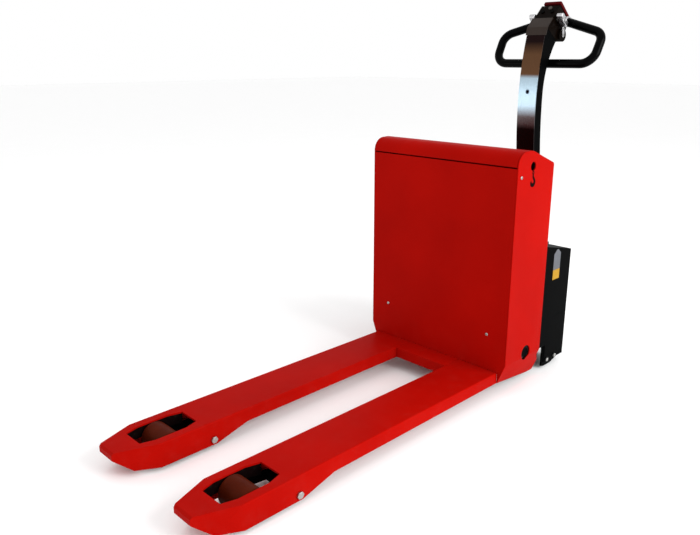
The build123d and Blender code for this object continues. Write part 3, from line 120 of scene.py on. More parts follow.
class Shader:
    """One material with a Principled shader, and the nodes that feed it."""

    def __init__(self, name: str) -> None:
        """Make an empty material.

        Args:
            name: the material's name.
        """
        self.material = bpy.data.materials.new(name)
        self.material.use_nodes = True
        self.tree = self.material.node_tree
        self.surface = self.tree.nodes["Principled BSDF"]
        self.place = self.node("ShaderNodeTexCoord").outputs["Object"]

    def node(self, kind: str, settings: dict | None = None, inputs: dict | None = None) -> bpy.types.Node:
        """Add a node.

        Args:
            kind: the node's type.
            settings: its settings, set before its sockets.
            inputs: socket names or numbers, with values, sockets or Numbers.

        Returns:
            The node.
        """
        made = self.tree.nodes.new(kind)
        for key, value in (settings or {}).items():
            setattr(made, key, value)
        for key, value in (inputs or {}).items():
            self.feed(made.inputs[key], value)
        return made

    def feed(self, socket: bpy.types.NodeSocket, value: object) -> None:
        """Link a socket, or set its value.

        Args:
            socket: the input socket.
            value: a Number, an output socket or a plain value.
        """
        if isinstance(value, Number):
            value = value.socket
        if isinstance(value, bpy.types.NodeSocket):
            self.tree.links.new(value, socket)
        else:
            socket.default_value = value

    def set(self, **values: object) -> None:
        """Feed the Principled shader.

        Args:
            values: socket names, with underscores for spaces, and what feeds them.
        """
        for key, value in values.items():
            self.feed(self.surface.inputs[key.replace("_", " ")], value)

    def stretched(self, scale: Point) -> bpy.types.NodeSocket:
        """Object coordinates scaled along each axis."""
        product = self.node("ShaderNodeVectorMath", {"operation": "MULTIPLY"}, {0: self.place, 1: scale})
        return product.outputs[0]

    def noise(self, scale: float, detail: float = 4.0, vector: bpy.types.NodeSocket | None = None) -> Number:
        """Noise over the surface, from 0 to 1.

        Args:
            scale: cells per metre.
            detail: octaves.
            vector: coordinates, or None for object coordinates.

        Returns:
            The noise.
        """
        inputs = {"Vector": vector or self.place, "Scale": scale, "Detail": detail}
        return Number(self, self.node("ShaderNodeTexNoise", None, inputs).outputs[0])

    def ramp(self, value: Number, low: float, high: float) -> Number:
        """Stretch a number so that low becomes 0 and high becomes 1."""
        inputs = {"Value": value, "From Min": low, "From Max": high}
        return Number(self, self.node("ShaderNodeMapRange", {"clamp": True}, inputs).outputs[0])

    def height(self, low: float, high: float) -> Number:
        """How high a point lies, 0 at low and 1 at high, in metres."""
        split = self.node("ShaderNodeSeparateXYZ", None, {0: self.place})
        return self.ramp(Number(self, split.outputs["Z"]), low, high)

    def mix(self, factor: Number, first: object, second: object) -> bpy.types.NodeSocket:
        """Blend two colours.

        Args:
            factor: 0 gives the first, 1 the second.
            first: a colour or socket.
            second: a colour or socket.

        Returns:
            The blended colour.
        """
        inputs = {"Factor": factor, 6: first, 7: second}
        return self.node("ShaderNodeMix", {"data_type": "RGBA"}, inputs).outputs[2]

    def bump(self, height: Number, strength: float, distance: float) -> None:
        """Feed the normal from a height.

        Args:
            height: the height, 0 to 1.
            strength: how much of it shows.
            distance: its real depth in metres.
        """
        inputs = {"Height": height, "Strength": strength, "Distance": distance}
        self.set(Normal=self.node("ShaderNodeBump", None, inputs).outputs[0])


def rgb(red: float, green: float, blue: float) -> tuple[float, float, float, float]:
    """A linear colour with full alpha."""
    return (red, green, blue, 1.0)


@dataclass(frozen=True)
class Paint:
    """Powder coat or enamel on steel, with orange peel, faint clouding and dust near the floor."""

    name: str
    colour: tuple
    deep: tuple
    roughness: float = 0.34
    coat: float = 0.35
    peel: float = 0.16
    dust: float = 0.12
    shine: float = 0.3

    def build(self) -> bpy.types.Material:
        """Make the material."""
        shader = Shader(self.name)
        cloud = shader.noise(5.0, 3.0)
        fleck = shader.noise(900.0, 2.0)
        grime = shader.ramp(shader.noise(28.0, 6.0), 0.48, 0.72) * (1 - shader.height(0.0, 0.22)) * self.dust
        body = shader.mix(shader.ramp(cloud, 0.3, 0.7), self.deep, self.colour)
        flecked = shader.mix(shader.ramp(fleck, 0.66, 0.8) * 0.25, body, self.deep)
        scuff = shader.ramp(shader.noise(60.0, 8.0, shader.stretched((1.0, 0.18, 1.0))), 0.62, 0.74)
        shader.set(
            Base_Color=shader.mix(grime, flecked, rgb(0.22, 0.19, 0.16)),
            Roughness=self.roughness + cloud * 0.08 + scuff * 0.1 + grime * 0.3,
            Coat_Weight=self.coat - scuff * self.coat * 0.4,
            Coat_Roughness=0.12,
            Specular_IOR_Level=self.shine,
        )
        shader.bump(shader.noise(420.0, 2.0), self.peel, 0.0004)
        return shader.material


@dataclass(frozen=True)
class Metal:
    """Bare, plated or brushed metal; grain gives the brushing's stretch along each axis."""

    name: str
    colour: tuple
    shade: tuple
    roughness: float
    grain: Point = (60.0, 60.0, 60.0)
    depth: float = 0.0001
    stain: float = 0.3

    def build(self) -> bpy.types.Material:
        """Make the material."""
        shader = Shader(self.name)
        lines = shader.noise(1.0, 3.0, shader.stretched(self.grain))
        blotch = shader.ramp(shader.noise(18.0, 5.0), 0.42, 0.7) * self.stain
        shader.set(
            Base_Color=shader.mix(blotch, shader.mix(lines, self.colour, self.shade), self.shade),
            Metallic=1.0,
            Roughness=self.roughness + lines * 0.12 + blotch * 0.18,
        )
        shader.bump(lines, 0.25, self.depth)
        return shader.material


@dataclass(frozen=True)
class BandedStrip:
    """Brushed strip steel; its bright middle and brown, grey and near-black height bands are painted
    reflections.
    """

    name: str
    painted_bright_reflection: tuple
    grey: tuple
    brown: tuple
    dark: tuple
    roughness: float = 0.2

    def build(self) -> bpy.types.Material:
        """Make the material."""
        shader = Shader(self.name)
        lines = shader.noise(1.0, 3.0, shader.stretched((2600.0, 30.0, 30.0)))
        # Painted reflections: the strip's colour changes with height, not with the lamps.
        low = shader.mix(shader.height(0.832, 0.852), self.dark, self.grey)
        middle = shader.mix(shader.height(0.876, 0.918), low, self.painted_bright_reflection)
        upper = shader.mix(shader.height(1.016, 1.03), middle, self.brown)
        whole = shader.mix(shader.height(1.1, 1.145), upper, self.dark)
        shader.set(
            Base_Color=shader.mix(lines * 0.3, whole, shader.mix(lines, whole, self.dark)),
            Metallic=1.0,
            Roughness=self.roughness + lines * 0.12,
        )
        shader.bump(lines, 0.25, 0.0001)
        return shader.material


@dataclass(frozen=True)
class Moulding:
    """Moulded plastic, rubber or polyurethane with a fine grain and slight marks."""

    name: str
    colour: tuple
    shade: tuple
    roughness: float
    grain: float = 1200.0
    depth: float = 0.00015
    subsurface: float = 0.0
    dust: float = 0.1
    coat: float = 0.0
    shine: float = 0.3

    def build(self) -> bpy.types.Material:
        """Make the material."""
        shader = Shader(self.name)
        cloud = shader.noise(24.0, 5.0)
        mark = shader.ramp(shader.noise(85.0, 7.0), 0.56, 0.74) * self.dust
        shader.set(
            Base_Color=shader.mix(mark, shader.mix(cloud, self.colour, self.shade), rgb(0.2, 0.18, 0.16)),
            Roughness=self.roughness + cloud * 0.1 + mark * 0.2,
            Subsurface_Weight=self.subsurface,
            Subsurface_Scale=0.004,
            Coat_Weight=self.coat,
            Coat_Roughness=0.15,
            Specular_IOR_Level=self.shine,
        )
        shader.bump(shader.noise(self.grain, 2.0) * 0.7 + cloud * 0.3, 0.35, self.depth)
        return shader.material


class Finish(Enum):
    """The truck's finishes, by what they are on the real one, plus painted reflections and painted shade."""

    RED = Paint(
        "red_powder_coat", rgb(0.35, 0.0028, 0.001), rgb(0.3, 0.0022, 0.0008), 0.42, 0.0, 0.14, 0.015,
        0.012,
    )
    BLACK = Paint(
        "black_powder_coat", rgb(0.0009, 0.001, 0.0011), rgb(0.0005, 0.0006, 0.0007), 0.4, 0.0, 0.3,
        0.004, 0.008,
    )
    GLOSS_BLACK = Paint(
        "black_enamel", rgb(0.0008, 0.0008, 0.0009), rgb(0.0005, 0.0005, 0.0006), 0.14, 0.0, 0.05,
        0.004, 0.03,
    )
    # The strip's bright, grey, brown and near-black bands are painted reflections, laid on by height.
    STRIP = BandedStrip(
        "brushed_strip_steel", rgb(0.36, 0.47, 0.55), rgb(0.1, 0.09, 0.092), rgb(0.115, 0.056, 0.028),
        rgb(0.012, 0.006, 0.006),
    )
    DARK_STEEL = Metal(
        "dark_brushed_steel", rgb(0.055, 0.042, 0.036), rgb(0.03, 0.023, 0.02), 0.3,
        (1800.0, 40.0, 40.0),
    )
    BLUED = Metal("blued_steel", rgb(0.12, 0.17, 0.24), rgb(0.06, 0.08, 0.12), 0.25, (300.0, 300.0, 300.0))
    ZINC = Metal("zinc_plate", rgb(0.5, 0.49, 0.46), rgb(0.28, 0.29, 0.29), 0.28, (160.0, 160.0, 160.0))
    STEEL = Metal("machined_steel", rgb(0.42, 0.42, 0.43), rgb(0.26, 0.26, 0.27), 0.32, (700.0, 90.0, 90.0))
    CAST = Paint(
        "painted_casting", rgb(0.02, 0.02, 0.022), rgb(0.012, 0.012, 0.013), 0.55, 0.0, 0.8, 0.2, 0.2,
    )
    ALUMINIUM = Metal(
        "die_cast_aluminium", rgb(0.66, 0.66, 0.67), rgb(0.38, 0.37, 0.38), 0.22,
        (420.0, 420.0, 420.0),
    )
    CHROME = Metal("ground_chrome", rgb(0.84, 0.84, 0.86), rgb(0.74, 0.74, 0.76), 0.08, (40.0, 40.0, 900.0))
    PLASTIC = Moulding(
        "black_moulding", rgb(0.0009, 0.0008, 0.0008), rgb(0.0014, 0.0013, 0.0013), 0.3, 1600.0,
        dust=0.004, shine=0.01,
    )
    HOUSING = Moulding(
        "brown_black_moulding", rgb(0.003, 0.0015, 0.0008), rgb(0.002, 0.001, 0.0006), 0.3, 1600.0,
        0.0001, 0.0, 0.006, 0.0, 0.015,
    )
    ROLLER = Moulding(
        "cast_polyurethane", rgb(0.078, 0.009, 0.002), rgb(0.04, 0.004, 0.001), 0.4, 500.0, 0.0002,
        0.02, 0.01, 0.0, 0.02,
    )
    RUBBER = Moulding(
        "tyre_rubber", rgb(0.012, 0.0115, 0.011), rgb(0.022, 0.02, 0.019), 0.62, 700.0, 0.0003,
    )
    CASE = Moulding("battery_polypropylene", rgb(0.012, 0.012, 0.014), rgb(0.02, 0.02, 0.022), 0.45)
    LEAD = Metal("cast_lead", rgb(0.34, 0.35, 0.37), rgb(0.2, 0.21, 0.22), 0.45, (220.0, 220.0, 220.0))
    DARK_RED = Moulding(
        "dark_red_cap", rgb(0.07, 0.001, 0.002), rgb(0.045, 0.0008, 0.0015), 0.3, dust=0.02,
        shine=0.03,
    )
    PALE = Moulding("pale_button", rgb(0.07, 0.06, 0.055), rgb(0.045, 0.04, 0.035), 0.35, shine=0.05)
    RED_CAP = Moulding("red_knob", rgb(0.5, 0.008, 0.008), rgb(0.38, 0.005, 0.005), 0.28, coat=0.2)
    GREY_LABEL = Moulding(
        "grey_label_film", rgb(0.08, 0.086, 0.095), rgb(0.11, 0.115, 0.13), 0.35, 300.0, 0.00005,
        dust=0.03, shine=0.05,
    )
    YELLOW_LABEL = Moulding(
        "yellow_label_film", rgb(0.36, 0.2, 0.012), rgb(0.3, 0.16, 0.009), 0.35, 300.0, 0.00005,
        dust=0.03, shine=0.05,
    )
    # Black print and dark screw parts; also laid as painted shade in the roller wells and the side plates'
    # holes.
    INK = Moulding(
        "black_print_and_painted_shade", rgb(0.003, 0.001, 0.001), rgb(0.005, 0.002, 0.002), 0.5, 300.0, 0.00003,
        dust=0.02, shine=0.01,
    )

    def material(self) -> bpy.types.Material:
        """The finish's material, made once."""
        return bpy.data.materials.get(self.value.name) or self.value.build()


SLOT_FINISH = {
    "red_paint": Finish.RED,
    "black_paint": Finish.BLACK,
    "black_plastic": Finish.PLASTIC,
    "black_gloss": Finish.GLOSS_BLACK,
    "brushed_strip": Finish.STRIP,
    "zinc": Finish.ZINC,
    "raw_steel": Finish.STEEL,
    "cast_dark": Finish.CAST,
    "aluminium_part": Finish.ALUMINIUM,
    "chrome_rod": Finish.CHROME,
    "roller_tread": Finish.ROLLER,
    "drive_tread": Finish.RUBBER,
    "castor_tread": Finish.RUBBER,
    "battery_case": Finish.CASE,
    "button_red": Finish.DARK_RED,
    "button_black": Finish.PLASTIC,
    "button_pale": Finish.PALE,
}


# Carried nodes shown darker than their slot: black as painted shade, so the hole they sit in reads dark.
SHADE_PAINTED_NODES = {"shaft_bushes": Finish.GLOSS_BLACK, "lift_shaft": Finish.BLACK}


# ---------------------------------------------------------------- mesh tools
def settle(name: str, mesh: bmesh.types.BMesh, sharp: float = 35.0) -> bpy.types.Object:
    """Turn a bmesh into a linked object with smooth shading between sharp edges.

    Args:
        name: the object's name.
        mesh: the bmesh, which is freed.
        sharp: the angle in degrees past which an edge stays crisp.

    Returns:
        The object.
    """
    bmesh.ops.recalc_face_normals(mesh, faces=mesh.faces)
    limit = math.radians(sharp)
    for face in mesh.faces:
        face.smooth = True
    for edge in mesh.edges:
        edge.smooth = not (edge.is_manifold and edge.calc_face_angle(0.0) > limit)
    data = bpy.data.meshes.new(name)
    mesh.to_mesh(data)
    mesh.free()
    made = bpy.data.objects.new(name, data)
    bpy.context.scene.collection.objects.link(made)
    return made


def scaled(*points: Flat) -> list[Flat]:
    """Turn points given in millimetres into metres."""
    return [(x * MM, y * MM) for x, y in points]


def facing(sign: float, spot: Point) -> Matrix:
    """A frame on a side face: local X runs along the truck, Y upwards and Z outwards."""
    x, y, z = spot
    return Matrix(((0.0, 0.0, sign, x), (1.0, 0.0, 0.0, y), (0.0, 1.0, 0.0, z), (0.0, 0.0, 0.0, 1.0)))


def baked(obj: bpy.types.Object) -> bpy.types.Object:
    """Apply an object's modifiers by swapping in its evaluated mesh.

    Args:
        obj: the object.

    Returns:
        The object, without modifiers.
    """
    graph = bpy.context.evaluated_depsgraph_get()
    data = bpy.data.meshes.new_from_object(obj.evaluated_get(graph))
    obj.modifiers.clear()
    obj.data = data
    return obj


def soften(obj: bpy.types.Object, width: float, segments: int = 3, angle: float = 28.0) -> bpy.types.Object:
    """Round an object's outward edges; inside corners stay as they are, so nothing grows into a neighbour.

    Args:
        obj: the object.
        width: the rounding's width in metres.
        segments: steps across the rounding.
        angle: edges sharper than this, in degrees, are rounded.

    Returns:
        The object, with the rounding applied.
    """
    mesh = bmesh.new()
    mesh.from_mesh(obj.data)
    weights = mesh.edges.layers.float.new("bevel_weight_edge")
    for edge in mesh.edges:
        if len(edge.link_faces) == 2 and edge.is_convex and edge.calc_face_angle(0.0) > math.radians(angle):
            edge[weights] = 1.0
    mesh.to_mesh(obj.data)
    mesh.free()
    rounding = obj.modifiers.new("rounding", "BEVEL")
    rounding.width = width
    rounding.segments = segments
    rounding.limit_method = "WEIGHT"
    rounding.use_clamp_overlap = True
    rounding.harden_normals = True
    return baked(obj)


def dress(piece: bpy.types.Object, finish: Finish, body: str) -> bpy.types.Object:
    """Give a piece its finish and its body.

    Args:
        piece: the object.
        finish: its finish.
        body: the body that it rides on.

    Returns:
        The piece.
    """
    piece.data.materials.clear()
    piece.data.materials.append(finish.material())
    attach(piece, body)
    return piece


def refine(node: str, width: float, finish: Finish | None = None, segments: int = 3) -> bpy.types.Object:
    """Replace a CAD node by a copy with rounded edges and clean flat faces.

    Args:
        node: the CAD node.
        width: the rounding's width in metres.
        finish: the finish, or None for the slot's own.
        segments: steps across the rounding.

    Returns:
        The new piece.
    """
    mesh = bmesh.new()
    mesh.from_mesh(frame["nodes"][node].data)
    bmesh.ops.remove_doubles(mesh, verts=mesh.verts, dist=2e-5)
    bmesh.ops.dissolve_limit(mesh, angle_limit=math.radians(0.6), verts=mesh.verts, edges=mesh.edges)
    piece = settle(f"{node}_skin", mesh)
    soften(piece, width, segments)
    dress(piece, finish or SLOT_FINISH[SLOT_OF[node]], BODY_OF[node])
    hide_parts(node)
    return piece


def axis_frame(origin: Point, axis: Point) -> Matrix:
    """A frame at a point whose Z runs along an axis."""
    turn = Vector(axis).to_track_quat("Z", "Y").to_matrix().to_4x4()
    return Matrix.Translation(origin) @ turn


def lathe(name: str, profile: list[Flat], origin: Point, axis: Point, steps: int = 64) -> bpy.types.Object:
    """Turn a profile about an axis.

    Args:
        name: the object's name.
        profile: (radius, distance along the axis) points, closed when the first point repeats.
        origin: the foot of the axis.
        axis: its direction.
        steps: faces round the turn.

    Returns:
        The object.
    """
    mesh = bmesh.new()
    rings = []
    for step in range(steps):
        angle = 2 * math.pi * step / steps
        rings.append([mesh.verts.new((r * math.cos(angle), r * math.sin(angle), h)) for r, h in profile])
    for ring, following in zip(rings, rings[1:] + rings[:1]):
        for k in range(len(profile) - 1):
            mesh.faces.new((ring[k], following[k], following[k + 1], ring[k + 1]))
    bmesh.ops.remove_doubles(mesh, verts=mesh.verts, dist=1e-6)
    mesh.transform(axis_frame(origin, axis))
    return settle(name, mesh)


def slab(
    name: str, outline: list[Flat], place: Matrix, thickness: float, rounding: float
) -> bpy.types.Object:
    """Make a flat piece with rounded edges.

    Args:
        name: the object's name.
        outline: its corners in the place's XY plane.
        place: where it lies; its thickness rises along the place's Z.
        thickness: its thickness in metres.
        rounding: the edges' rounding in metres.

    Returns:
        The object.
    """
    mesh = bmesh.new()
    base = mesh.faces.new([mesh.verts.new((x, y, 0.0)) for x, y in outline])
    raised = bmesh.ops.extrude_face_region(mesh, geom=[base])
    moved = [item for item in raised["geom"] if isinstance(item, bmesh.types.BMVert)]
    bmesh.ops.translate(mesh, verts=moved, vec=(0.0, 0.0, thickness))
    mesh.transform(place)
    piece = settle(name, mesh)
    return soften(piece, rounding, 2) if rounding else piece


def tube(name: str, path: list[Vector], radii: list[float], steps: int = 24) -> bpy.types.Object:
    """Sweep a circle of changing radius along a path, with closed ends.

    Args:
        name: the object's name.
        path: the points followed.
        radii: the radius at each point.
        steps: faces round the tube.

    Returns:
        The object.
    """
    mesh = bmesh.new()
    rings = []
    side = Vector((0.0, 0.0, 1.0))
    for index, point in enumerate(path):
        along = (path[min(index + 1, len(path) - 1)] - path[max(index - 1, 0)]).normalized()
        side = (side - along * side.dot(along)).normalized()
        up = along.cross(side)
        ring = []
        for step in range(steps):
            angle = 2 * math.pi * step / steps
            spoke = math.cos(angle) * side + math.sin(angle) * up
            ring.append(mesh.verts.new(point + radii[index] * spoke))
        rings.append(ring)
    for first, second in zip(rings, rings[1:]):
        for k in range(steps):
            mesh.faces.new((first[k], first[(k + 1) % steps], second[(k + 1) % steps], second[k]))
    mesh.faces.new(rings[0])
    mesh.faces.new(rings[-1])
    return settle(name, mesh)


def ribbon(
    name: str, path: list[Flat], halves: list[float], place: Matrix, thickness: float
) -> bpy.types.Object:
    """Make a flat mark that follows a line with a changing width.

    Args:
        name: the object's name.
        path: the line's points in the place's XY plane.
        halves: half the width at each point.
        place: where it lies; its thickness rises along the place's Z.
        thickness: its thickness in metres.

    Returns:
        The object.
    """
    left, right = [], []
    for index, (x, y) in enumerate(path):
        x0, y0 = path[max(index - 1, 0)]
        x1, y1 = path[min(index + 1, len(path) - 1)]
        length = math.hypot(x1 - x0, y1 - y0)
        across = (-(y1 - y0) / length * halves[index], (x1 - x0) / length * halves[index])
        left.append((x + across[0], y + across[1]))
        right.append((x - across[0], y - across[1]))
    mesh = bmesh.new()
    levels = []
    for level in (0.0, thickness):
        levels.append([[mesh.verts.new((x, y, level)) for x, y in side] for side in (left, right)])
    for k in range(len(path) - 1):
        for side in levels:
            mesh.faces.new((side[0][k], side[0][k + 1], side[1][k + 1], side[1][k]))
        for edge in (0, 1):
            under, over = levels[0][edge], levels[1][edge]
            mesh.faces.new((under[k], under[k + 1], over[k + 1], over[k]))
    for end in (0, -1):
        mesh.faces.new((levels[0][0][end], levels[0][1][end], levels[1][1][end], levels[1][0][end]))
    mesh.transform(place)
    return settle(name, mesh)


def weld_bead(name: str, start: Point, end: Point, radius: float) -> bpy.types.Object:
    """Lay a rippled weld bead along a joint.

    Args:
        name: the object's name.
        start: where it begins.
        end: where it ends.
        radius: its half width in metres.

    Returns:
        The object.
    """
    first, last = Vector(start), Vector(end)
    length = (last - first).length
    count = max(int(length / (radius * 0.4)), 8)
    path = [first.lerp(last, k / count) for k in range(count + 1)]
    radii = []
    for k in range(count + 1):
        taper = min(1.0, 4 * k / count + 0.25, 4 * (count - k) / count + 0.25)
        radii.append(radius * taper * (1 + 0.09 * math.sin(k * 1.9) + 0.04 * math.sin(k * 0.53)))
    return tube(name, path, radii, 12)


def button_head(name: str, centre: Point, axis: Point, radius: float, height: float) -> bpy.types.Object:
    """Make a domed screw head with a hexagon socket.

    Args:
        name: the object's name.
        centre: the middle of its seat.
        axis: the way it faces.
        radius: its radius.
        height: its height.

    Returns:
        The object.
    """
    mesh = bmesh.new()
    steps = 48
    socket = radius * 0.42
    arcs = [math.pi / 2 * k / 6 for k in range(7)]
    profile = [(radius * (0.55 + 0.45 * math.cos(a)), height * (0.25 + 0.75 * math.sin(a))) for a in arcs]
    profile = [(radius, 0.0), *profile]
    rings = []
    for step in range(steps):
        angle = 2 * math.pi * step / steps
        ring = [mesh.verts.new((r * math.cos(angle), r * math.sin(angle), h)) for r, h in profile]
        hexagon = socket * math.cos(math.pi / 6) / math.cos((angle % (math.pi / 3)) - math.pi / 6)
        for depth in (height, height * 0.3):
            ring.append(mesh.verts.new((hexagon * math.cos(angle), hexagon * math.sin(angle), depth)))
        rings.append(ring)
    for ring, following in zip(rings, rings[1:] + rings[:1]):
        for k in range(len(ring) - 1):
            mesh.faces.new((ring[k], following[k], following[k + 1], ring[k + 1]))
    mesh.faces.new([ring[-1] for ring in rings])
    mesh.faces.new([ring[0] for ring in reversed(rings)])
    mesh.transform(axis_frame(centre, axis))
    return settle(name, mesh)


# ---------------------------------------------------------------- sub-assemblies
@dataclass
class Carried:
    """CAD nodes whose shape is already right: they only take their finish."""

    def build(self) -> None:
        """Dress every CAD node with its slot's finish, save two that take black as painted shade."""
        for name, obj in frame["nodes"].items():
            # Painted shade: the shaft and its bushes take black in place of their slot's finish.
            material = SHADE_PAINTED_NODES.get(name, SLOT_FINISH[SLOT_OF[name]]).material()
            obj.data.materials.clear()
            obj.data.materials.append(material)
        LOG.info("carried nodes dressed: %d", len(frame["nodes"]))


@dataclass
class ForkFrame:
    """Forks, heel plate and battery box."""

    edge: float = 1.2 * MM
    fold: float = 2.0 * MM
    bead: float = 3.0 * MM
    well_front: float = 0.080
    well_half: float = 0.051
    well_length: float = 0.180
    well_across: float = 0.012
    well_along: float = 0.042
    # Top and foot of the black sheets of painted shade in the roller wells.
    shade_sheet_top: float = 0.0800
    shade_sheet_foot: float = 0.0480
    mark_y: float = 0.086
    mark_z: float = 0.724
    holes: tuple = (("lifting", 0.085, 0.766, 14.0, 22.0), ("shaft", 0.120, 0.132, 25.0, 12.0))
    # Inset of the black hole sleeves, painted shade inside the side plates' holes.
    hole_shade_inset: float = 4.5 * MM
    post_height: float = 0.018
    post_inset: float = 0.030
    post_y: float = 0.060
    plug_y: float = 0.022

    def build(self) -> None:
        """Refine the painted sheets and add welds and screws."""
        for side in SIDES:
            refine(f"{side}_fork", self.fold, segments=3)
            refine(f"{side}_side_plate", self.edge)
        for node in ("heel_plate", "front_panel", "lid", "rear_wall"):
            refine(node, self.edge)
        self.welds()
        self.screws()
        self.lifting_marks()
        self.battery_details()
        self.well_shade_sheets()
        self.corner_plates()
        LOG.info("fork frame built")

    def corner_plates(self) -> None:
        """Close the corner under the box between each fork's root and the side plate."""
        panel_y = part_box("front_panel")[0][1]
        outline = [(0.2702, 0.0520), (0.2690, 0.0520), (0.2821, 0.0846), (0.2702, 0.0846)]
        for side, sign in SIDES.items():
            place = Matrix(((sign, 0.0, 0.0, 0.0), (0.0, 0.0, 1.0, panel_y + 0.6 * MM), (0.0, 1.0, 0.0, 0.0),
                            (0.0, 0.0, 0.0, 1.0)))
            plate = slab(f"{side}_corner_plate", outline, place, 3.0 * MM, 0.4 * MM)
            dress(plate, Finish.RED, "fork_frame")

    def well_shade_sheets(self) -> None:
        """Line each roller well with a thin black sheet as painted shade, open at the rear for the push rod.
        """
        half, length, across, along = self.well_half, self.well_length, self.well_across, self.well_along
        quarter = [(half - across, 0.0), (half, along), (half, length - along), (half - across, length)]
        corners = [(-half + across, 0.0), *quarter, *[(-x, y) for x, y in reversed(quarter[1:])]]
        for side in SIDES:
            low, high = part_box(f"{side}_fork")
            middle = (low[0] + high[0]) / 2
            centre = low[1] + self.well_front + length / 2
            mesh = bmesh.new()
            rings = []
            for inset in (0.05 * MM, 0.55 * MM):
                shrink = 1 - inset / half
                outline = [(middle + x * shrink, centre + (y - length / 2) * shrink) for x, y in corners]
                for height in (self.shade_sheet_top, self.shade_sheet_foot):
                    rings.append([mesh.verts.new((x, y, height)) for x, y in outline])
            order = (rings[0], rings[1], rings[3], rings[2], rings[0])
            for first, second in zip(order, order[1:]):
                for k in (0, 1, 2, 3, 5, 6, 7):
                    mesh.faces.new((first[k], first[(k + 1) % 8], second[(k + 1) % 8], second[k]))
            for end in (4, 5):
                mesh.faces.new([ring[end] for ring in order[:4]])
            # A black sheet standing in for the shade inside the well.
            shade_sheet = settle(f"{side}_well_shade_sheet", mesh)
            dress(shade_sheet, Finish.INK, "fork_frame")

    def lifting_marks(self) -> None:
        """Print a lifting hook under the round hole of each side plate, and line the plate's holes with black
        sleeves as painted shade.
        """
        panel_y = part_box("front_panel")[0][1]
        for side, sign in SIDES.items():
            face_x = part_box(f"{side}_side_plate")[0 if sign < 0 else 1][0]
            self.hook(side, sign, (face_x, panel_y + self.mark_y, self.mark_z))
            for name, along, height, radius, depth in self.holes:
                # Black sleeves inside the holes are painted shade.
                inner, outer, end = radius - 0.1, radius + 2.5, depth
                profile = scaled((inner, 0.0), (outer, 0.0), (outer, end), (inner, end), (inner, 0.0))
                origin = (face_x - sign * self.hole_shade_inset, panel_y + along, height)
                hole_shade = lathe(f"{side}_{name}_sleeve", profile, origin, (-sign, 0.0, 0.0))
                dress(hole_shade, Finish.INK, "fork_frame")

    def hook(self, side: str, sign: int, spot: Point) -> None:
        """Print one lifting hook.

        Args:
            side: left or right.
            sign: which way the side faces along X.
            spot: the middle of the hook on the plate's outer face.
        """
        shank = [(0.0, 19.0), (0.0, 14.0), (0.6, 9.0), (3.0, 5.0)]
        turns = [math.radians(angle) for angle in range(45, -216, -15)]
        bend = [(10.0 * math.cos(turn), -7.0 + 10.0 * math.sin(turn)) for turn in turns]
        taper = (5.4, 4.4, 3.2, 2.0, 0.8)
        path = scaled(*shank, *bend)
        swell = [min(6.0, 3.4 + 0.26 * k) for k in range(len(path) - len(taper))]
        halves = [half * MM for half in (*swell, *taper)]
        print_depth = 0.25
        mark = ribbon(f"{side}_hook_mark", path, halves, facing(sign, spot), print_depth * MM)
        dress(mark, Finish.INK, "fork_frame")
        profile = scaled((2.2, 0.0), (6.0, 0.0), (6.0, print_depth), (2.2, print_depth), (2.2, 0.0))
        top = (spot[0], spot[1], spot[2] + 22.5 * MM)
        eye = lathe(f"{side}_hook_eye", profile, top, (sign, 0.0, 0.0), 32)
        dress(eye, Finish.INK, "fork_frame")

    def battery_details(self) -> None:
        """Vent plugs, rings and lead posts on each battery."""
        dish = ((4.0, 4.5), (3.0, 3.2), (0.0, 3.2))
        plug_profile = scaled((0.0, 0.0), (13.0, 0.0), (13.0, 3.0), (11.5, 4.5), *dish)
        ring_profile = scaled((9.2, 0.0), (12.5, 0.0), (12.5, 3.0), (9.2, 4.0), (9.2, 0.0))
        post_profile = scaled((0.0, 0.0), (9.3, 0.0), (8.8, 1.0), (0.0, 1.0))
        plugs = 6
        for side in SIDES:
            low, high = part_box(f"{side}_battery")
            refine(f"{side}_battery", 1.2 * MM)
            top = high[2] - self.post_height
            middle = (low[1] + high[1]) / 2
            for number in range(plugs):
                x = low[0] + (high[0] - low[0]) * (number + 0.5) / plugs
                spot = (x, middle + self.plug_y, top)
                plug = lathe(f"{side}_vent_plug_{number}", plug_profile, spot, UP, 40)
                finish = Finish.YELLOW_LABEL if number % 5 else Finish.CASE
                dress(plug, finish, "fork_frame")
            for end, finish in ((-1, Finish.INK), (1, Finish.RED_CAP)):
                x = (low[0] + high[0]) / 2 + end * ((high[0] - low[0]) / 2 - self.post_inset)
                y = middle - self.post_y
                ring = lathe(f"{side}_post_ring_{end + 1}", ring_profile, (x, y, top), UP, 40)
                dress(ring, finish, "fork_frame")
                post = lathe(f"{side}_post_top_{end + 1}", post_profile, (x, y, high[2] - 0.5 * MM), UP, 40)
                dress(post, Finish.LEAD, "fork_frame")

    def welds(self) -> None:
        """Lay the beads that join the forks to the heel plate and the box."""
        low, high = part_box("heel_plate")
        panel_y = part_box("front_panel")[0][1]
        inner = max(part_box("left_fork")[1][0], -0.2)
        for side, sign in SIDES.items():
            x = -sign * inner
            bead = weld_bead(f"{side}_heel_weld", (x, low[1] + 0.004, high[2] - 0.0015),
                             (x, panel_y - 0.002, high[2] - 0.0015), self.bead * 0.5)
            dress(bead, Finish.RED, "fork_frame")

    def screws(self) -> None:
        """Set domed socket heads in place of the plain ones."""
        low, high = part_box("box_screws")
        radius = 5.4 * MM
        spots = [((sign * 0.221, low[1] + 3.5 * MM, 0.209), (0.0, -1.0, 0.0)) for sign in SIDES.values()]
        spots += [((sign * 0.3, low[1] + 24.5 * MM, 0.737), (sign, 0.0, 0.0)) for sign in SIDES.values()]
        for number, (centre, axis) in enumerate(spots):
            head = button_head(f"box_screw_{number}", centre, axis, radius, 2.4 * MM)
            dress(head, Finish.ZINC, "fork_frame")
            if number == 0:
                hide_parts("box_screws")


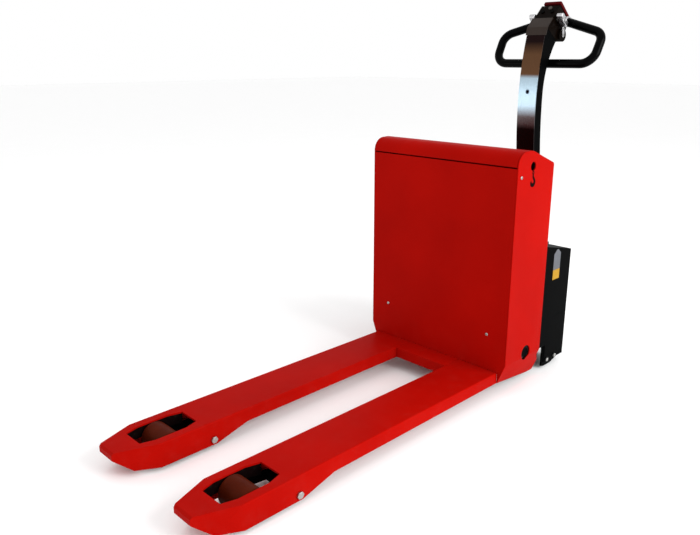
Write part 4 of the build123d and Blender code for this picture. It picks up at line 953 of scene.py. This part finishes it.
@dataclass
class Rolling:
    """Load rollers, castors and the drive wheel."""

    def build(self) -> None:
        """Refine the rolling parts and their bolts."""
        for side in SIDES:
            refine(f"{side}_rocker_arm", 0.8 * MM)
            refine(f"{side}_castor_fork", 0.8 * MM)
        refine("rocker_pivot_bolts", 1.0 * MM)
        refine("skirt_bolts", 0.8 * MM)
        LOG.info("rolling parts built")


@dataclass
class DriveUnit:
    """Black cover, its label, and the steering head."""

    def build(self) -> None:
        """Refine the cover and steering head and stick on the label."""
        refine("drive_cover", 1.6 * MM, segments=3)
        refine("steering_head", 2.5 * MM)
        refine("chassis_frame", 0.8 * MM)
        refine("tiller_pivot_pin", 0.8 * MM)
        self.label()
        self.controls()
        LOG.info("drive unit built")

    def controls(self) -> None:
        """Bezels round the key switch and the emergency stop."""
        for name, node, outer, inner, drop, finish in (
            ("key", "key", 13.0, 7.0, 0.0236, Finish.ZINC),
            ("stop", "stop_knob", 24.0, 15.0, 0.0185, Finish.YELLOW_LABEL),
        ):
            low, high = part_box(node)
            centre = ((low[0] + high[0]) / 2, (low[1] + high[1]) / 2, high[2] - drop)
            rim = scaled((inner, 0.0), (outer, 0.0), (outer, 0.8), (outer - 1, 1.4), (inner, 1.4), (inner, 0))
            dress(lathe(f"{name}_bezel", rim, centre, UP), finish, "chassis")
        refine("stop_knob", 0.6 * MM, Finish.RED_CAP)
        refine("key", 0.8 * MM)

    def label(self) -> None:
        """Two-tone film on the cover's side: grey with a pointed top, yellow below."""
        low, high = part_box("drive_cover")
        panel_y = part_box("front_panel")[0][1]
        for side, sign in SIDES.items():
            place = Matrix(((0.0, 0.0, sign, high[0] * sign), (sign, 0.0, 0.0, 0.0), (0.0, 1.0, 0.0, 0.0),
                            (0.0, 0.0, 0.0, 1.0)))
            y0, y1 = panel_y + 0.322, panel_y + 0.366
            mid = (y0 + y1) / 2
            point = [(mid + 0.004, 0.445), (mid - 0.004, 0.445)]
            grey = [(y0, 0.372), (y1, 0.372), (y1, 0.43), *point, (y0, 0.43)]
            yellow = [(y0, 0.336), (y1, 0.336), (y1, 0.3716), (y0, 0.3716)]
            films = (("grey", grey, Finish.GREY_LABEL), ("yellow", yellow, Finish.YELLOW_LABEL))
            for name, outline, finish in films:
                flat = [(sign * y, z) for y, z in outline]
                piece = slab(f"{side}_{name}_label", flat, place, 0.4 * MM, 0.0)
                dress(piece, finish, "chassis")


@dataclass
class Tiller:
    """Arm, strip, control head and loop handle."""

    panel_y: float = 0.2225

    def build(self) -> None:
        """Refine the tiller's parts."""
        refine("tiller_arm", 2.0 * MM)
        refine("tiller_strip", 1.0 * MM)
        refine("head_housing", 4.0 * MM, Finish.HOUSING, segments=4)
        refine("head_bracket", 1.2 * MM, Finish.DARK_STEEL)
        refine("belly_button", 3.0 * MM, segments=4)
        refine("throttle_wings", 2.5 * MM, segments=4)
        self.collars()
        self.wing_ribs()
        self.side_lugs()
        self.strip_screws()
        LOG.info("tiller built")

    def collars(self) -> None:
        """Set a plated collar on each end of the loop, where it enters the head."""
        for side, sign in SIDES.items():
            run = Vector((sign * 0.952, -0.145, -0.268))
            start = Vector((sign * 0.038, self.panel_y + 0.6677, 1.2191)) + run * 1.5 * MM
            mouth = ((19.6, 1.5), (19.6, 8.0), (18.2, 10.0), (16.1, 10.0))
            profile = scaled((16.1, 0.0), (19.0, 0.0), *mouth, (16.1, 0.0))
            collar = lathe(f"{side}_loop_collar", profile, start + run * 4 * MM, run)
            dress(collar, Finish.ALUMINIUM, "tiller")

    def wing_ribs(self) -> None:
        """Raise grip ribs on the throttle's paddles."""
        axis = Vector((0.0, self.panel_y + 0.612, 1.222))
        lean = math.radians(42)
        along = Vector((0.0, -math.cos(lean), math.sin(lean)))
        out = Vector((0.0, -math.sin(lean), -math.cos(lean)))
        for side, sign in SIDES.items():
            for face in (-1, 1):
                for number in range(5):
                    centre = axis + Vector((sign * 0.057, 0.0, 0.0)) + along * (number - 2) * 8.0 * MM
                    width = 8.6 * MM if number in (0, 4) else (9.4 * MM if number != 2 else 11.6 * MM)
                    seat = centre + out * face * width
                    rise = out * face
                    rows = ((sign, 0.0, 0.0, 0.0), (0.0, along.y, rise.y, 0.0), (0.0, along.z, rise.z, 0.0))
                    place = Matrix.Translation(seat) @ Matrix((*rows, (0.0, 0.0, 0.0, 1.0)))
                    half, depth = 9.5 * MM, 1.3 * MM
                    outline = [(-half, -depth), (half, -depth), (half, depth), (-half, depth)]
                    rib = slab(f"{side}_rib_{face + 1}_{number}", outline, place, 1.4 * MM, 0.5 * MM)
                    dress(rib, Finish.ALUMINIUM, "throttle")

    def side_lugs(self) -> None:
        """Bolt a plated lug to each end of the round bulge under the head."""
        for side, sign in SIDES.items():
            low, high = (0.0, self.panel_y + 0.642, 1.169), (0.0, self.panel_y + 0.640, 1.195)
            face_x = sign * 0.047
            outline = []
            for centre, start in ((high, 0), (low, 180)):
                for step in range(13):
                    angle = math.radians(start + step * 15)
                    across, rise = 7.0 * MM * math.cos(angle), 7.0 * MM * math.sin(angle)
                    outline.append((centre[1] + across, centre[2] + rise))
            lug = slab(f"{side}_lug", outline, facing(sign, (face_x, 0.0, 0.0)), 2.5 * MM, 0.6 * MM)
            dress(lug, Finish.ALUMINIUM, "tiller")
            for name, spot in (("low", low), ("high", high)):
                head = button_head(f"{side}_lug_screw_{name}", (face_x + sign * 2.5 * MM, spot[1], spot[2]),
                                   (sign, 0.0, 0.0), 4.5 * MM, 2.6 * MM)
                dress(head, Finish.ZINC, "tiller")

    def strip_screws(self) -> None:
        """Domed screws in dished washers on the strip."""
        for number, height in enumerate((0.620, 0.968)):
            radius = 1.46 if height < 0.930 else 0.95
            front = self.panel_y + 0.502 + radius - math.sqrt(radius**2 - (height - 0.930) ** 2)
            lean = (height - 0.930) / radius
            axis = Vector((0.0, -1.0, lean)).normalized()
            spot = Vector((0.0, front, height))
            ring = scaled((4.2, -1.0), (8.2, 0.0), (7.6, 0.9), (5.0, 0.4), (4.2, -1.0))
            washer = lathe(f"strip_washer_{number}", ring, spot, axis, 48)
            dress(washer, Finish.BLUED, "tiller")
            head = button_head(f"strip_screw_{number}", spot, axis, 5.0 * MM, 1.6 * MM)
            dress(head, Finish.INK, "tiller")
            if number == 0:
                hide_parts("strip_screws")


@dataclass
class Studio:
    """Pale floor, soft light and the camera."""

    eye: Point = (1.4673, -1.6360, 1.0883)
    yaw: float = 45.53
    pitch: float = -16.48
    lens: float = 36.44

    def build(self) -> None:
        """Set the stage."""
        self.floor()
        self.lights()
        self.camera()
        LOG.info("studio built")

    def floor(self) -> None:
        """A wide pale floor."""
        mesh = bmesh.new()
        half = 30.0
        corners = ((-half, -half), (half, -half), (half, half), (-half, half))
        mesh.faces.new([mesh.verts.new((x, y, 0.0)) for x, y in corners])
        plane = settle("studio_floor", mesh)
        shader = Shader("pale_floor")
        shade = shader.noise(3.0, 2.0)
        shader.set(Base_Color=shader.mix(shade, rgb(0.96, 0.96, 0.96), rgb(0.98, 0.98, 0.98)), Roughness=0.7)
        plane.data.materials.append(shader.material)

    def lights(self) -> None:
        """Even white surroundings, a large lamp on the +X side, one above and a low one by the fork tips."""
        world = bpy.data.worlds.new("studio_world")
        world.use_nodes = True
        world.node_tree.nodes["Background"].inputs["Color"].default_value = (1.0, 1.0, 1.0, 1.0)
        world.node_tree.nodes["Background"].inputs["Strength"].default_value = 1.0
        bpy.context.scene.world = world
        lamps = {
            "side_lamp": ((4.2, 0.9, 2.2), 3.0, 225.0),
            "top_lamp": ((0.3, -0.6, 4.0), 3.0, 5.0),
            "tip_lamp": ((-2.5, -3.2, 0.75), 1.0, 8.0),
        }
        target = Vector((0.0, 0.0, 0.4))
        for name, (spot, size, power) in lamps.items():
            data = bpy.data.lights.new(name, "AREA")
            data.size = size
            data.energy = power
            lamp = bpy.data.objects.new(name, data)
            lamp.location = spot
            lamp.rotation_euler = (target - Vector(spot)).to_track_quat("-Z", "Y").to_euler()
            bpy.context.scene.collection.objects.link(lamp)

    def camera(self) -> None:
        """The viewing camera."""
        data = bpy.data.cameras.new("view")
        data.lens = self.lens
        data.sensor_width = 36.0
        camera = bpy.data.objects.new("view", data)
        camera.location = self.eye
        bpy.context.scene.view_settings.view_transform = "Standard"
        yaw, pitch = math.radians(self.yaw), math.radians(self.pitch)
        forward = Vector((-math.sin(yaw) * math.cos(pitch), math.cos(yaw) * math.cos(pitch), math.sin(pitch)))
        camera.rotation_euler = forward.to_track_quat("-Z", "Y").to_euler()
        bpy.context.scene.collection.objects.link(camera)
        bpy.context.scene.camera = camera


def main() -> None:
    """Build every sub-assembly in order."""
    logging.basicConfig(level=logging.INFO, format="%(name)s: %(message)s")
    for assembly in (Studio(), Carried(), ForkFrame(), Rolling(), DriveUnit(), Tiller()):
        assembly.build()


if __name__ == "__main__":
    main()
